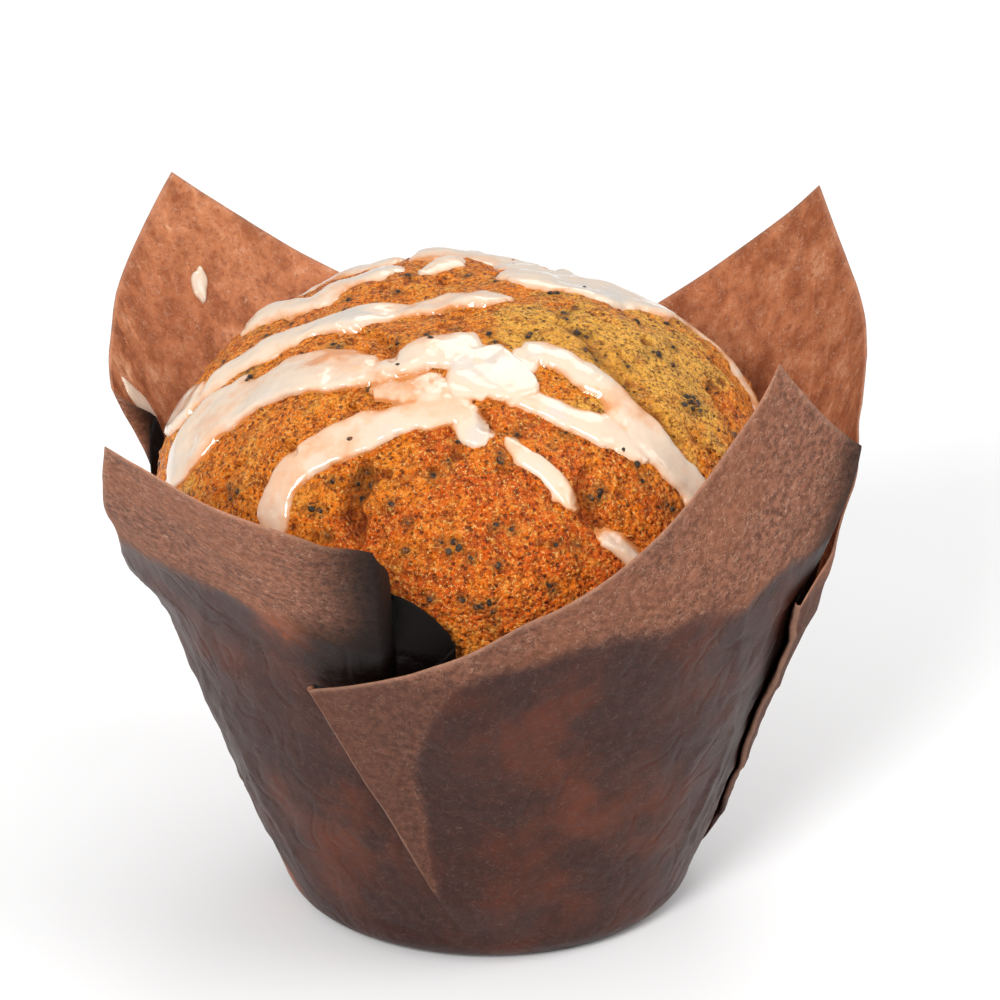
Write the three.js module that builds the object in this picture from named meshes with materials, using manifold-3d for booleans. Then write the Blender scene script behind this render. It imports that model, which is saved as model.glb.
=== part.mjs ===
// A glazed muffin with poppy seeds, standing in a tulip-shaped paper case.
// Millimetres, Z up. The origin is the middle of the case's base, on the ground;
// the photographed front looks towards -Y and its right-hand side towards +X.

import * as THREE from "three";
import { mergeVertices } from "three/addons/utils/BufferGeometryUtils.js";
import Module from "manifold-3d";

const wasm = await Module();
wasm.setup();

// Driving dimensions of the case: one square sheet pressed round a cup
const BASE_RADIUS = 20.7; // flat round bottom
const BASE_FILLET = 4; // rounding between the bottom and the wall
const WALL_TILT = rad(20.1); // lean of the wall from the vertical
const WALL_DRIFT = -0.018; // sideways drift of the whole cup, mm of X per mm of height
const PAPER = 0.5; // thickness of the paper
const LAYER_PITCH = 0.9; // distance between the layers of a pleat
const PLEAT_START = 8; // wall length over which a pleat comes up out of the flat wall
const PLEAT_BLEND = 9; // arc length over which the outer layer returns to the wall
const BEND_FROM = 38; // wall length from which each petal takes its own lean
const BEND_OVER = 22; // wall length that this change takes
const WALL_START = BASE_RADIUS + BASE_FILLET * Math.cos(WALL_TILT);
const TOP_RADIUS = 42; // radius of the wall where the pleats end, for lengths along it

// Driving dimensions of the cake
const CAKE_X = -2; // middle of the dome
const DOME_LEVEL = 50; // height at which the dome begins
const DOME_RADIUS = 37.3;
const DOME_HEIGHT = 25.4;
const DOME_POWER = 2.25; // 2 is an ellipse, more is a flatter top
const CAKE_GAP = 0.4; // room between the cake and the paper
const SHOULDER = 37.5; // height at which the cake leaves the paper
const GLAZE_LIFT = 1; // how far the middle of a glaze line stands out
const GROOVE_TOP = 0.8; // height over the crust up to which a crack is cut free
const SECTIONS_PER_RADIAN = 12; // cross-sections of a glaze line or crack

// The four petals, in the order in which they stand round the case. Each begins with
// the outer fold of a pleat, rises to a corner of the sheet, comes down to the place
// where its edge turns in, rolls in to the cake and ends in the inner fold of the next pleat.
// Angles are azimuths in degrees, lengths are wall lengths in mm. The lifts say how far
// the cut edge bulges above the straight line on either side of the corner, riseOut how
// far the rising edge flares outwards.
const PETALS = [
  {
    foot: 170, fold: 150, foldTop: 44,
    corner: 228, tip: 81, lean: 37.5, riseLift: -8.5, riseOut: 2, fallLift: 2.6,
    turn: 258, turnTop: 66, turnOut: 2.4,
    roll: 256, rollTop: 54, rollOut: -3,
    tuck: 266, tuckTop: 49,
  },
  {
    foot: 266, fold: 240.5, foldTop: 41,
    corner: 320, tip: 78, lean: 7, riseLift: 3, riseOut: 0, fallLift: 0,
    turn: 339, turnTop: 64, turnOut: 3.5,
    roll: 341, rollTop: 55, rollOut: -1.5,
    tuck: 352, tuckTop: 50,
  },
  {
    foot: 357, fold: 331, foldTop: 44,
    corner: 401.5, tip: 79.7, lean: 29, riseLift: 8.5, riseOut: 0, fallLift: 0,
    turn: 424, turnTop: 59, turnOut: 1,
    roll: 428, rollTop: 53, rollOut: -1.5,
    tuck: 441, tuckTop: 50,
  },
  {
    foot: 447, fold: 423, foldTop: 44,
    corner: 489, tip: 80.5, lean: 36, riseLift: 2.5, riseOut: 0, fallLift: 0,
    turn: 524.5, turnTop: 60, turnOut: 0,
    roll: 519, rollTop: 54, rollOut: -2,
    tuck: 531, tuckTop: 50,
  },
];

// Glaze lines as directions from the middle of the dome: azimuth and elevation in
// degrees, then the half-width of the line in mm at that point.
const GLAZE_LINES = [
  {
    name: "left band",
    path: [
      [197, 10, 3.8], [198, 17, 4.6], [199, 25, 4.8], [205, 33, 3.9], [213, 42, 4.1],
      [225, 47, 3.6], [238, 49, 2], [250, 58, 1.8], [270, 60, 2.8],
    ],
  },
  {
    name: "upper left",
    path: [
      [189, 25, 2], [186, 33, 2], [187, 42, 2.8], [187, 50, 2.3], [191, 58, 2.8], [190, 66, 2.4],
      [196, 75, 2.2], [217, 82, 2.2], [294, 84, 2.2], [329, 79, 1.8],
    ],
  },
  {
    name: "far left",
    path: [
      [163, 33, 2.2], [158, 38, 2.4], [159, 48, 2.2], [146, 53, 2.4], [131, 61, 2.4],
    ],
  },
  {
    name: "top",
    path: [
      [112, 56, 2.3], [92, 56, 2.1], [74, 58, 2.6], [60, 63, 3.4],
    ],
  },
  {
    name: "top branch",
    path: [
      [127, 69, 1], [111, 67, 1.3], [97, 64, 1.5],
    ],
  },
  {
    name: "top right",
    path: [
      [60, 64, 4.4], [43, 65, 5], [33, 59, 5.2], [28, 53, 5], [25, 46, 4.4], [23, 41, 3.6],
      [23, 36, 2.4], [22, 29, 1.3], [16, 23, 1.1], [8, 15, 1],
    ],
  },
  {
    name: "middle",
    path: [
      [271, 58, 3.4], [277, 54, 4.8], [284, 52, 5.4], [291, 53, 4.2],
    ],
  },
  {
    name: "outer right",
    path: [
      [294, 57, 2.8], [301, 56, 2.2], [307, 50, 1.8], [311, 42, 2.2], [313, 34, 2.5],
      [314, 27, 2.6], [315, 22, 2.5], [317, 18, 2.4], [319, 11, 2.4],
    ],
  },
  {
    name: "inner right",
    path: [
      [283, 46, 3], [290, 42, 2], [296, 37, 1.9], [302, 33, 1.9], [306, 29, 1.5], [308, 25, 1],
    ],
  },
  {
    name: "streak",
    path: [
      [279, 34, 0.8], [282, 30, 1.3], [286, 27, 1.4], [289, 22, 1.1], [291, 19, 0.8],
    ],
  },
  {
    name: "low streak",
    path: [
      [295, 13, 0.8], [298, 11, 1], [301, 7, 1.2],
    ],
  },
  {
    name: "front left",
    path: [
      [232, 11, 2.3], [231, 17, 2.2], [232, 22, 2.2], [234, 25, 2.3], [238, 30, 2.6],
      [243, 34, 2.8], [249, 37, 2.3], [255, 40, 2.3], [264, 43, 2.8],
    ],
  },
  {
    name: "joint",
    path: [
      [263, 47, 2.2], [270, 48, 2.8], [277, 46, 2.2],
    ],
  },
  {
    name: "front drop",
    path: [
      [267, 35, 1.3], [271, 35, 1.5], [275, 34, 1.2],
    ],
  },
  {
    name: "left drop",
    path: [
      [174, 14, 2], [179, 17, 3.6], [187, 23, 2.5],
    ],
  },
  {
    name: "back left",
    path: [
      [146, 14, 1.6], [140, 26, 1.7], [128, 38, 1.6], [116, 50, 1.8],
    ],
  },
  {
    name: "back",
    path: [
      [104, 12, 1.5], [96, 26, 1.7], [90, 42, 1.8], [88, 54, 1.9],
    ],
  },
  {
    name: "back right",
    path: [
      [62, 12, 1.6], [58, 26, 1.8], [50, 42, 1.8], [46, 56, 2.2],
    ],
  },
];

// Cracks of the crust as directions, then the half-width and the depth in mm.
const CRACKS = [
  {
    name: "left crag",
    path: [
      [246, 27, 1.1, 1.5], [247, 24, 1.3, 1.9], [246, 20, 1.5, 2.2], [247, 16, 1.4, 2],
      [249, 12, 1.1, 1.5],
    ],
  },
  {
    name: "middle",
    path: [
      [274, 41, 0.8, 1.2], [274, 38, 0.9, 1.6], [276, 35.5, 0.7, 1.2],
    ],
  },
  {
    name: "right crack",
    path: [
      [296, 26, 0.7, 1], [293, 22, 0.9, 1.4], [293, 18, 1.2, 1.9], [296, 14, 0.9, 1.4],
      [302, 9, 1, 1.5],
    ],
  },
  {
    name: "valley",
    path: [
      [325, 62, 1.3, 0.9], [326, 55, 1.4, 1], [321, 48, 1.3, 1], [320, 41, 1.3, 0.9],
      [320, 33, 1.4, 0.9], [321, 25, 1.4, 0.8],
    ],
  },
  {
    name: "right hollow",
    path: [
      [349, 29, 0.9, 0.8], [346, 26, 1.1, 1.1], [341, 22, 0.9, 0.8],
    ],
  },
  {
    name: "upper crack",
    path: [
      [240, 53, 0.8, 0.9], [233, 57, 0.8, 1], [220, 60, 0.7, 0.8],
    ],
  },
  {
    name: "back crack",
    path: [
      [78, 24, 0.9, 1], [74, 32, 1.1, 1.2], [66, 38, 0.9, 1],
    ],
  },
  {
    name: "far crack",
    path: [
      [118, 22, 0.9, 1], [110, 26, 1, 1.1], [110, 34, 0.8, 0.9],
    ],
  },
];
const SEED_COUNT = 40;
const SEED_SIZE = 0.62;
const SLIVER = 0.05; // smallest step of the surface that is kept

const caseMaterial = new THREE.MeshStandardMaterial({ color: 0x6b4a3c, roughness: 0.75, metalness: 0 });
caseMaterial.name = "greased_paper";
const cakeMaterial = new THREE.MeshStandardMaterial({ color: 0xbe7a36, roughness: 0.6, metalness: 0 });
cakeMaterial.name = "baked_crust";

function rad(degrees) {
  return (degrees * Math.PI) / 180;
}

function mix(a, b, t) {
  return a + (b - a) * t;
}

function smooth(from, to, x) {
  const t = Math.min(1, Math.max(0, (x - from) / (to - from)));
  return t * t * (3 - 2 * t);
}

// Signed difference of two azimuths in radians, within half a turn
function turnBetween(a, b) {
  return Math.atan2(Math.sin(a - b), Math.cos(a - b));
}

// Lean of the petals' upper part, going over from petal to petal at the pleats
function topLean(azimuth) {
  let lean = WALL_TILT;
  for (const petal of PETALS) {
    const away = Math.abs(turnBetween(azimuth, rad(petal.corner)));
    lean += (rad(petal.lean) - WALL_TILT) * (1 - smooth(rad(12), rad(44), away));
  }
  return lean;
}

// Radius and height of the wall's middle surface at a wall length
function wallProfile(azimuth, length) {
  const straight = Math.min(length, BEND_FROM);
  let radius = WALL_START + straight * Math.sin(WALL_TILT);
  let height = PAPER / 2 + BASE_FILLET * (1 - Math.sin(WALL_TILT)) + straight * Math.cos(WALL_TILT);
  const lean = topLean(azimuth);
  const steps = 10;
  const step = Math.max(0, length - BEND_FROM) / steps;
  for (let i = 0; i < steps; i++) {
    const at = BEND_FROM + (i + 0.5) * step;
    const tilt = mix(WALL_TILT, lean, smooth(BEND_FROM, BEND_FROM + BEND_OVER, at));
    radius += step * Math.sin(tilt);
    height += step * Math.cos(tilt);
  }
  return { radius, height };
}

// How far a straight line on the rolled-out wall has turned round the cup
function spiral(length) {
  return length / (WALL_START + length * Math.sin(WALL_TILT));
}

// One column of the paper: foot and top azimuth, top length, layer number and the
// distance by which it stands off sideways (along) and outwards (out) near its top.
function column(foot, top, topLength, layer, along = 0, out = 0) {
  return { foot: rad(foot), top: rad(top), topLength, layer, along, out };
}

// Point of the paper's middle surface on a column at a wall length
function paperPoint(col, length) {
  const turned = spiral(length) / spiral(col.topLength);
  const azimuth = mix(col.foot, col.top, turned);
  const wall = wallProfile(azimuth, length);
  const risen = smooth(0, PLEAT_START, length);
  const off = risen * col.layer * LAYER_PITCH + col.out * smooth(BEND_FROM, col.topLength, length);
  const lean = mix(WALL_TILT, topLean(azimuth), smooth(BEND_FROM, BEND_FROM + BEND_OVER, length));
  const radius = wall.radius + off * Math.cos(lean);
  const height = wall.height - off * Math.sin(lean);
  const at = azimuth + (risen * col.along * LAYER_PITCH) / radius;
  return new THREE.Vector3(radius * Math.cos(at) + WALL_DRIFT * height, radius * Math.sin(at), height);
}

// Wall length of a cut edge between two columns, at a share of their angle
function cutEdge(fromLength, toLength, span, share, lift) {
  const a = WALL_START + fromLength;
  const b = WALL_START + toLength;
  const angle = rad(span);
  const across = a * Math.sin(angle * share) + b * Math.sin(angle * (1 - share));
  return (a * b * Math.sin(angle)) / across - WALL_START + lift * Math.sin(Math.PI * share);
}

// All columns of the sheet, once round the case
function paperColumns() {
  const columns = [];
  PETALS.forEach((petal, index) => {
    const next = PETALS[(index + 1) % PETALS.length];
    const lap = index + 1 === PETALS.length ? 360 : 0;
    const footStep = 2.2;
    const cornerFoot = mix(petal.foot, next.foot + lap, 0.5);
    const previous = PETALS[(index + PETALS.length - 1) % PETALS.length];
    const under = turnBetween(rad(previous.tuck), rad(petal.fold)) * TOP_RADIUS;

    // outer fold, turning from the middle layer to the outer one
    columns.push(column(petal.foot, petal.fold, petal.foldTop, 1.5));
    columns.push(column(petal.foot + 1, petal.fold, petal.foldTop, 2, 0.5));

    // up to the corner of the sheet
    const rise = 7;
    for (let i = 1; i < rise; i++) {
      const share = i / rise;
      const top = mix(petal.fold, petal.corner, share);
      const arc = rad(top - petal.fold) * TOP_RADIUS;
      const layer = 2 * (1 - smooth(under, under + PLEAT_BLEND, arc));
      const length = cutEdge(petal.foldTop, petal.tip, 41, share, petal.riseLift);
      const out = petal.riseOut * Math.sin(Math.PI * share);
      columns.push(column(mix(petal.foot + 1, cornerFoot, share), top, length, layer, 0, out));
    }
    columns.push(column(cornerFoot, petal.corner, petal.tip, 0));

    // down to the place where the edge turns inwards
    const fall = 3;
    const turnFoot = mix(cornerFoot, next.foot + lap, 0.45);
    for (let i = 1; i <= fall; i++) {
      const share = i / fall;
      const length = cutEdge(petal.tip, petal.turnTop, 12, share, petal.fallLift);
      const out = petal.turnOut * share;
      columns.push(
        column(mix(cornerFoot, turnFoot, share), mix(petal.corner, petal.turn, share), length, 0, 0, out),
      );
    }

    // rolled in to the cake, then along it to the inner fold
    const rollFoot = mix(turnFoot, next.foot + lap, 0.45);
    for (const share of [0.35, 0.7, 1]) {
      const bulge = 1.4 * Math.sin(Math.PI * share);
      columns.push(
        column(
          mix(turnFoot, rollFoot, share),
          mix(petal.turn, petal.roll, share) + bulge,
          mix(petal.turnTop, petal.rollTop, share), 0, 0,
          mix(petal.turnOut, petal.rollOut, share),
        ),
      );
    }
    columns.push(
      column(
        mix(rollFoot, next.foot + lap - footStep * 1.5, 0.5),
        mix(petal.roll, petal.tuck, 0.5),
        mix(petal.rollTop, petal.tuckTop, 0.5), 0, 0,
        mix(petal.rollOut, -1.6, 0.5),
      ),
    );
    columns.push(column(next.foot + lap - footStep * 1.5, petal.tuck, petal.tuckTop, 0, -0.5, -1.6));
    columns.push(column(next.foot + lap - footStep, petal.tuck, petal.tuckTop, 0.5, 0, -1.2));
    columns.push(column(next.foot + lap - footStep * 0.8, petal.tuck, petal.tuckTop, 1, -0.5, -0.8));

    // middle layer, back to the outer fold of the next petal
    const back = 3;
    for (let i = 1; i <= back; i++) {
      const share = i / back;
      const last = i === back;
      columns.push(
        column(
          next.foot + lap - footStep * (0.8 - 0.5 * share),
          mix(petal.tuck, next.fold + lap, share),
          mix(petal.tuckTop, next.foldTop, share),
          1, last ? 0.5 : 0, -0.8 * (1 - share),
        ),
      );
    }
  });
  return columns;
}

// Closed solid from a grid of points: rows from the pole to the rim, each row a ring.
// The grid is the middle surface; the solid is that surface made thick on both sides.
function thickSheet(pole, rows, thickness) {
  const count = rows[0].length;
  const at = (r, c) => rows[r][(c + count) % count];
  const sides = [1, -1].map((side) => {
    const points = [pole.clone().add(new THREE.Vector3(0, 0, (-side * thickness) / 2))];
    rows.forEach((row, r) => {
      row.forEach((point, c) => {
        const across = at(r, c + 1).clone().sub(at(r, c - 1));
        const above = rows[Math.min(r + 1, rows.length - 1)][c];
        const below = r ? rows[r - 1][c] : pole;
        const normal = across.cross(above.clone().sub(below)).normalize();
        points.push(point.clone().addScaledVector(normal, (side * thickness) / 2));
      });
    });
    return points;
  });
  const positions = [];
  const face = (a, b, c) => positions.push(...a.toArray(), ...b.toArray(), ...c.toArray());
  sides.forEach((points, inside) => {
    const tri = (a, b, c) => {
      const corners = inside ? [a, c, b] : [a, b, c];
      face(...corners.map((corner) => points[corner]));
    };
    for (let c = 0; c < count; c++) {
      const d = (c + 1) % count;
      tri(0, 1 + d, 1 + c);
      for (let r = 0; r + 1 < rows.length; r++) {
        const low = 1 + r * count;
        const high = low + count;
        tri(low + c, low + d, high + d);
        tri(low + c, high + d, high + c);
      }
    }
  });
  const rim = 1 + (rows.length - 1) * count;
  for (let c = 0; c < count; c++) {
    const d = (c + 1) % count;
    const [outer, inner] = sides;
    face(outer[rim + c], outer[rim + d], inner[rim + d]);
    face(outer[rim + c], inner[rim + d], inner[rim + c]);
  }
  return geometryOf(positions);
}

function geometryOf(positions) {
  const geometry = new THREE.BufferGeometry();
  geometry.setAttribute("position", new THREE.Float32BufferAttribute(positions, 3));
  return mergeVertices(geometry, 1e-4);
}

function makeCase() {
  const columns = paperColumns();
  const rows = [];
  rows.push(columns.map((col) => ringPoint(col, BASE_RADIUS, PAPER / 2)));
  for (const share of [0.5, 1]) {
    const angle = share * (Math.PI / 2 - WALL_TILT);
    const radius = BASE_RADIUS + BASE_FILLET * Math.sin(angle);
    const height = PAPER / 2 + BASE_FILLET * (1 - Math.cos(angle));
    rows.push(columns.map((col) => ringPoint(col, radius, height)));
  }
  for (const share of [0.06, 0.12, 0.2, 0.3, 0.42, 0.54, 0.66, 0.78, 0.9, 1]) {
    rows.push(columns.map((col) => paperPoint(col, share * col.topLength)));
  }
  return thickSheet(new THREE.Vector3(0, 0, PAPER / 2), rows, PAPER);
}

function ringPoint(col, radius, height) {
  return new THREE.Vector3(radius * Math.cos(col.foot), radius * Math.sin(col.foot), height);
}

// Unit direction from the middle of the dome
function direction(azimuth, elevation) {
  const flat = Math.cos(elevation);
  return new THREE.Vector3(flat * Math.cos(azimuth), flat * Math.sin(azimuth), Math.sin(elevation));
}

// Uneven rise of the dough, from a few crossing waves
function relief(dir) {
  let sum = 0.5 * Math.sin(4.1 * dir.x + 2.3 * dir.y + 0.6);
  sum += 0.4 * Math.sin(-3.2 * dir.x + 5.7 * dir.y + 2.1 * dir.z + 1.9);
  sum += 0.25 * Math.sin(9.4 * dir.x - 6.1 * dir.y + 7.3 * dir.z);
  sum += 0.2 * Math.sin(12.8 * dir.y + 10.3 * dir.x - 5.2 * dir.z + 0.9);
  sum += 0.14 * Math.sin(21 * dir.x + 17 * dir.z) * Math.sin(19 * dir.y - 3 * dir.x);
  return sum;
}

// Point of the dome in a direction from its middle, lifted off the crust
function domePoint(azimuth, elevation, lift = 0) {
  const dir = direction(azimuth, elevation);
  const flat = Math.cos(elevation) / DOME_RADIUS;
  const tall = Math.sin(elevation) / DOME_HEIGHT;
  let reach = DOME_RADIUS;
  for (let i = 0; i < 12; i++) {
    const size = (reach * flat) ** DOME_POWER + (reach * tall) ** 2;
    reach *= 1 - (size - 1) / 2.4;
  }
  const fade = smooth(0, rad(16), elevation);
  const length = reach + fade * relief(dir) + lift;
  return new THREE.Vector3(CAKE_X, 0, DOME_LEVEL).addScaledVector(dir, length);
}

// Radius of the cake inside the case, measured from the drifting axis of the cup
function cakeRadius(height) {
  const low = BASE_RADIUS + BASE_FILLET - PAPER / 2 - CAKE_GAP;
  const base = WALL_START - (PAPER / 2 + CAKE_GAP) / Math.cos(WALL_TILT);
  const wallFoot = PAPER / 2 + BASE_FILLET * (1 - Math.sin(WALL_TILT));
  const wall = base + (height - wallFoot) * Math.tan(WALL_TILT);
  return height < wallFoot ? Math.min(low, wall) : wall;
}

function makeCake() {
  const around = 62;
  const rows = [];
  const floor = PAPER + CAKE_GAP;
  const toeRadius = BASE_RADIUS - 0.6;
  const toe = BASE_FILLET * 0.8;
  rows.push({ radius: toeRadius, height: floor });
  for (const angle of [35, 68]) {
    rows.push({
      radius: toeRadius + toe * Math.sin(rad(angle)),
      height: floor + toe * (1 - Math.cos(rad(angle))),
    });
  }
  for (const height of [10, 20, 30, SHOULDER]) rows.push({ radius: cakeRadius(height), height });
  const rings = rows.map(({ radius, height }) => {
    const ring = [];
    for (let c = 0; c < around; c++) {
      const az = (c / around) * 2 * Math.PI;
      ring.push(new THREE.Vector3(radius * Math.cos(az) + WALL_DRIFT * height, radius * Math.sin(az), height));
    }
    return ring;
  });
  // from the paper over to the dome
  const shoulder = rings[rings.length - 1];
  const brim = [];
  for (let c = 0; c < around; c++) brim.push(domePoint((c / around) * 2 * Math.PI, 0));
  for (const share of [0.35, 0.7]) {
    rings.push(
      shoulder.map((from, c) => {
        const to = brim[c];
        const point = from.clone().lerp(to, share);
        const bulge = 0.5 * Math.sin(Math.PI * share);
        const az = (c / around) * 2 * Math.PI;
        point.x += bulge * Math.cos(az);
        point.y += bulge * Math.sin(az);
        return point;
      }),
    );
  }
  rings.push(brim);
  const levels = [5, 10, 15, 20, 25, 30, 35, 40, 45, 50, 56, 62, 68, 74, 80, 85];
  for (const level of levels) {
    const ring = [];
    for (let c = 0; c < around; c++) ring.push(domePoint((c / around) * 2 * Math.PI, rad(level)));
    rings.push(ring);
  }
  const bottom = new THREE.Vector3(0, 0, floor);
  const top = domePoint(0, Math.PI / 2);
  return solidOf(closedLoft(bottom, rings, top));
}

// Closed body from rings of points, with a point at either end
function closedLoft(start, rings, end) {
  const positions = [];
  const face = (a, b, c) => positions.push(...a.toArray(), ...b.toArray(), ...c.toArray());
  const count = rings[0].length;
  const last = rings[rings.length - 1];
  for (let c = 0; c < count; c++) {
    const d = (c + 1) % count;
    face(start, rings[0][d], rings[0][c]);
    for (let r = 0; r + 1 < rings.length; r++) {
      face(rings[r][c], rings[r][d], rings[r + 1][d]);
      face(rings[r][c], rings[r + 1][d], rings[r + 1][c]);
    }
    face(end, last[c], last[d]);
  }
  return geometryOf(positions);
}

function solidOf(geometry) {
  const mesh = new wasm.Mesh({
    numProp: 3,
    vertProperties: geometry.attributes.position.array,
    triVerts: new Uint32Array(geometry.index.array),
  });
  return new wasm.Manifold(mesh);
}

// Closed body laid along a path of directions on the dome. The profile gives, for an
// angle round the path and the path's values there, the distance sideways and upwards.
function sweep(path, spokes, profile) {
  const knots = path.map(([az, el]) => direction(rad(az), rad(el)));
  const curve = new THREE.CatmullRomCurve3(knots, false, "centripetal");
  const sections = Math.max(4, Math.round(curve.getLength() * SECTIONS_PER_RADIAN));
  const points = [];
  for (let i = 0; i <= sections; i++) {
    const dir = curve.getPoint(i / sections).normalize();
    points.push(domePoint(Math.atan2(dir.y, dir.x), Math.asin(dir.z)));
  }
  const centre = new THREE.Vector3(CAKE_X, 0, DOME_LEVEL - 14);
  const rings = points.map((point, i) => {
    const share = i / sections;
    const knot = share * (path.length - 1);
    const low = Math.min(path.length - 2, Math.floor(knot));
    const end = Math.min(1, 2.2 * Math.sqrt(Math.min(share, 1 - share)) + 0.35);
    const values = path[low].slice(2).map((value, k) => mix(value, path[low + 1][k + 2], knot - low));
    const ahead = points[Math.min(i + 1, sections)].clone().sub(points[Math.max(i - 1, 0)]).normalize();
    const up = point.clone().sub(centre).normalize();
    const side = ahead.clone().cross(up).normalize();
    const out = side.clone().cross(ahead);
    const ring = [];
    for (let s = 0; s < spokes; s++) {
      const [sideways, upwards] = profile((s / spokes) * 2 * Math.PI, values);
      const drop = (sideways * end) ** 2 / (2 * DOME_RADIUS);
      ring.push(point.clone().addScaledVector(side, -sideways * end).addScaledVector(out, upwards - drop));
    }
    return ring;
  });
  return solidOf(closedLoft(points[0], rings, points[sections]));
}

// A glaze line: a low rounded ridge
function makeGlaze(path) {
  return sweep(path, 6, (angle, [width]) => [width * Math.cos(angle), Math.sin(angle) * GLAZE_LIFT + 0.15]);
}

// The groove of a crack: a wedge that points into the cake
function makeGroove(path) {
  return sweep(path, 4, (angle, [width, depth]) => {
    const rise = Math.sin(angle);
    return [width * Math.cos(angle), rise < 0 ? rise * depth : rise * GROOVE_TOP];
  });
}

// A poppy seed, half sunk into the crust
function makeSeed(azimuth, elevation, spin) {
  const seed = new THREE.SphereGeometry(SEED_SIZE, 6, 4);
  seed.deleteAttribute("normal");
  seed.deleteAttribute("uv");
  seed.scale(1.25, 1, 0.85);
  seed.rotateZ(spin);
  const dir = direction(azimuth, elevation);
  seed.applyQuaternion(new THREE.Quaternion().setFromUnitVectors(new THREE.Vector3(0, 0, 1), dir));
  const at = domePoint(azimuth, elevation, 0.12);
  seed.translate(at.x, at.y, at.z);
  return solidOf(mergeVertices(seed, 1e-4));
}

// Repeatable scatter
function makeRandom(seed) {
  let state = seed;
  return () => {
    state = (state * 1664525 + 1013904223) % 4294967296;
    return state / 4294967296;
  };
}

function makeMuffin() {
  let body = makeCake();
  for (const crack of CRACKS) body = body.subtract(makeGroove(crack.path));
  for (const line of GLAZE_LINES) body = body.add(makeGlaze(line.path));
  const random = makeRandom(7);
  for (let i = 0; i < SEED_COUNT; i++) {
    const azimuth = random() * 2 * Math.PI;
    const elevation = Math.asin(mix(0.2, 0.97, random()));
    body = body.add(makeSeed(azimuth, elevation, random() * Math.PI));
  }
  const made = body.simplify(SLIVER).getMesh();
  const geometry = new THREE.BufferGeometry();
  geometry.setAttribute("position", new THREE.Float32BufferAttribute(made.vertProperties, 3));
  geometry.setIndex(Array.from(made.triVerts));
  return mergeVertices(geometry, 2e-3);
}

const part = new THREE.Group();
part.name = "poppy_seed_muffin";

const paperCase = new THREE.Mesh(makeCase(), caseMaterial);
paperCase.name = "paper_case";
part.add(paperCase);

const muffin = new THREE.Mesh(makeMuffin(), cakeMaterial);
muffin.name = "muffin";
part.add(muffin);

export default part;
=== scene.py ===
"""Glazed poppy-seed muffin in a tulip paper case: paper, crust, glaze and seeds in full detail."""

from math import asin, atan2, cos, exp, pi, radians, sin, sqrt, tan

import bpy
import numpy as np
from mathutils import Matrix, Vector
from numpy.linalg import norm


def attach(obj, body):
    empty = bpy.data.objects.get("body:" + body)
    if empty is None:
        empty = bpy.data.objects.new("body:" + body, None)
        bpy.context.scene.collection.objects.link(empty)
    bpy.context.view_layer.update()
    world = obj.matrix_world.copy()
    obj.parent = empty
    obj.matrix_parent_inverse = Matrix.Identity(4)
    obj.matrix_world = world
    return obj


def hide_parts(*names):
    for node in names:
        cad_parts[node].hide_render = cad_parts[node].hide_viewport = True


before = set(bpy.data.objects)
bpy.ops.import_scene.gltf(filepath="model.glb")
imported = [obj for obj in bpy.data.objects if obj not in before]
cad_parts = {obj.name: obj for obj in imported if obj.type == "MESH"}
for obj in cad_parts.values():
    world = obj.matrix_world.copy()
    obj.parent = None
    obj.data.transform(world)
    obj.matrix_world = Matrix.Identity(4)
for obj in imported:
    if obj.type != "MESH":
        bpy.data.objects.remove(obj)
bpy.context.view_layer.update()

scene = bpy.context.scene
MM = 0.001
rng = np.random.default_rng(11)

# Case, in mm and radians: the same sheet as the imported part, in thinner paper
BASE_RADIUS = 20.7
BASE_FILLET = 4.0
WALL_TILT = radians(20.1)
WALL_DRIFT = -0.018
PAPER = 0.16
PLEAT_START = 8.0
PLEAT_BLEND = 9.0
BEND_FROM = 38.0
BEND_OVER = 22.0
WALL_START = BASE_RADIUS + BASE_FILLET * cos(WALL_TILT)
CAD_PAPER = 0.5
TOP_RADIUS = 42.0
LAP_BACK = 8.5
PAPER_ROWS = 92

# Cake
CAKE_X = -2.0
DOME_LEVEL = 50.0
DOME_RADIUS = 37.3
DOME_HEIGHT = 25.4
DOME_POWER = 2.25
SHOULDER = 37.5

# The petals, once round: azimuths of foot, outer fold, corner, turn, roll and inner fold (tuck), the wall's
# length there in mm (tip, _top), how far the edge is moved (_out, _lift, notch, bulge, sag) and its painted
# shade
USUAL = dict(rise_out=0, fall_lift=0, notch=0, bulge=1.8, sag=1, shade=0, low_shade=0)
PETALS = [{**USUAL, **own} for own in (
    dict(foot=170, fold=150, fold_top=44, corner=228, tip=81, lean=37.5, rise_lift=-8.5, rise_out=2,
         fall_lift=2.6, turn=257.3, turn_top=66, turn_out=2.4, roll=256, roll_top=54, roll_out=-3,
         tuck=266, tuck_top=48, notch=1.3, bulge=0.5, sag=3.2, shade=0.95, low_shade=0.8),
    dict(foot=266, fold=240.5, fold_top=41, corner=320, tip=78, lean=7, rise_lift=3, turn=339, turn_top=64,
         turn_out=3.5, roll=341, roll_top=55, roll_out=-1.5, tuck=352, tuck_top=50, shade=0.8),
    dict(foot=357, fold=333.5, fold_top=44, corner=401.5, tip=79.7, lean=29, rise_lift=8.5, turn=424,
         turn_top=59, turn_out=1, roll=428, roll_top=53, roll_out=-1.5, tuck=441, tuck_top=50),
    dict(foot=447, fold=423, fold_top=44, corner=489, tip=80.5, lean=36, rise_lift=2.5, turn=524.5,
         turn_top=60, turn_out=0, roll=519, roll_top=54, roll_out=-2, tuck=531, tuck_top=48.5, sag=4),
)]

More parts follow.
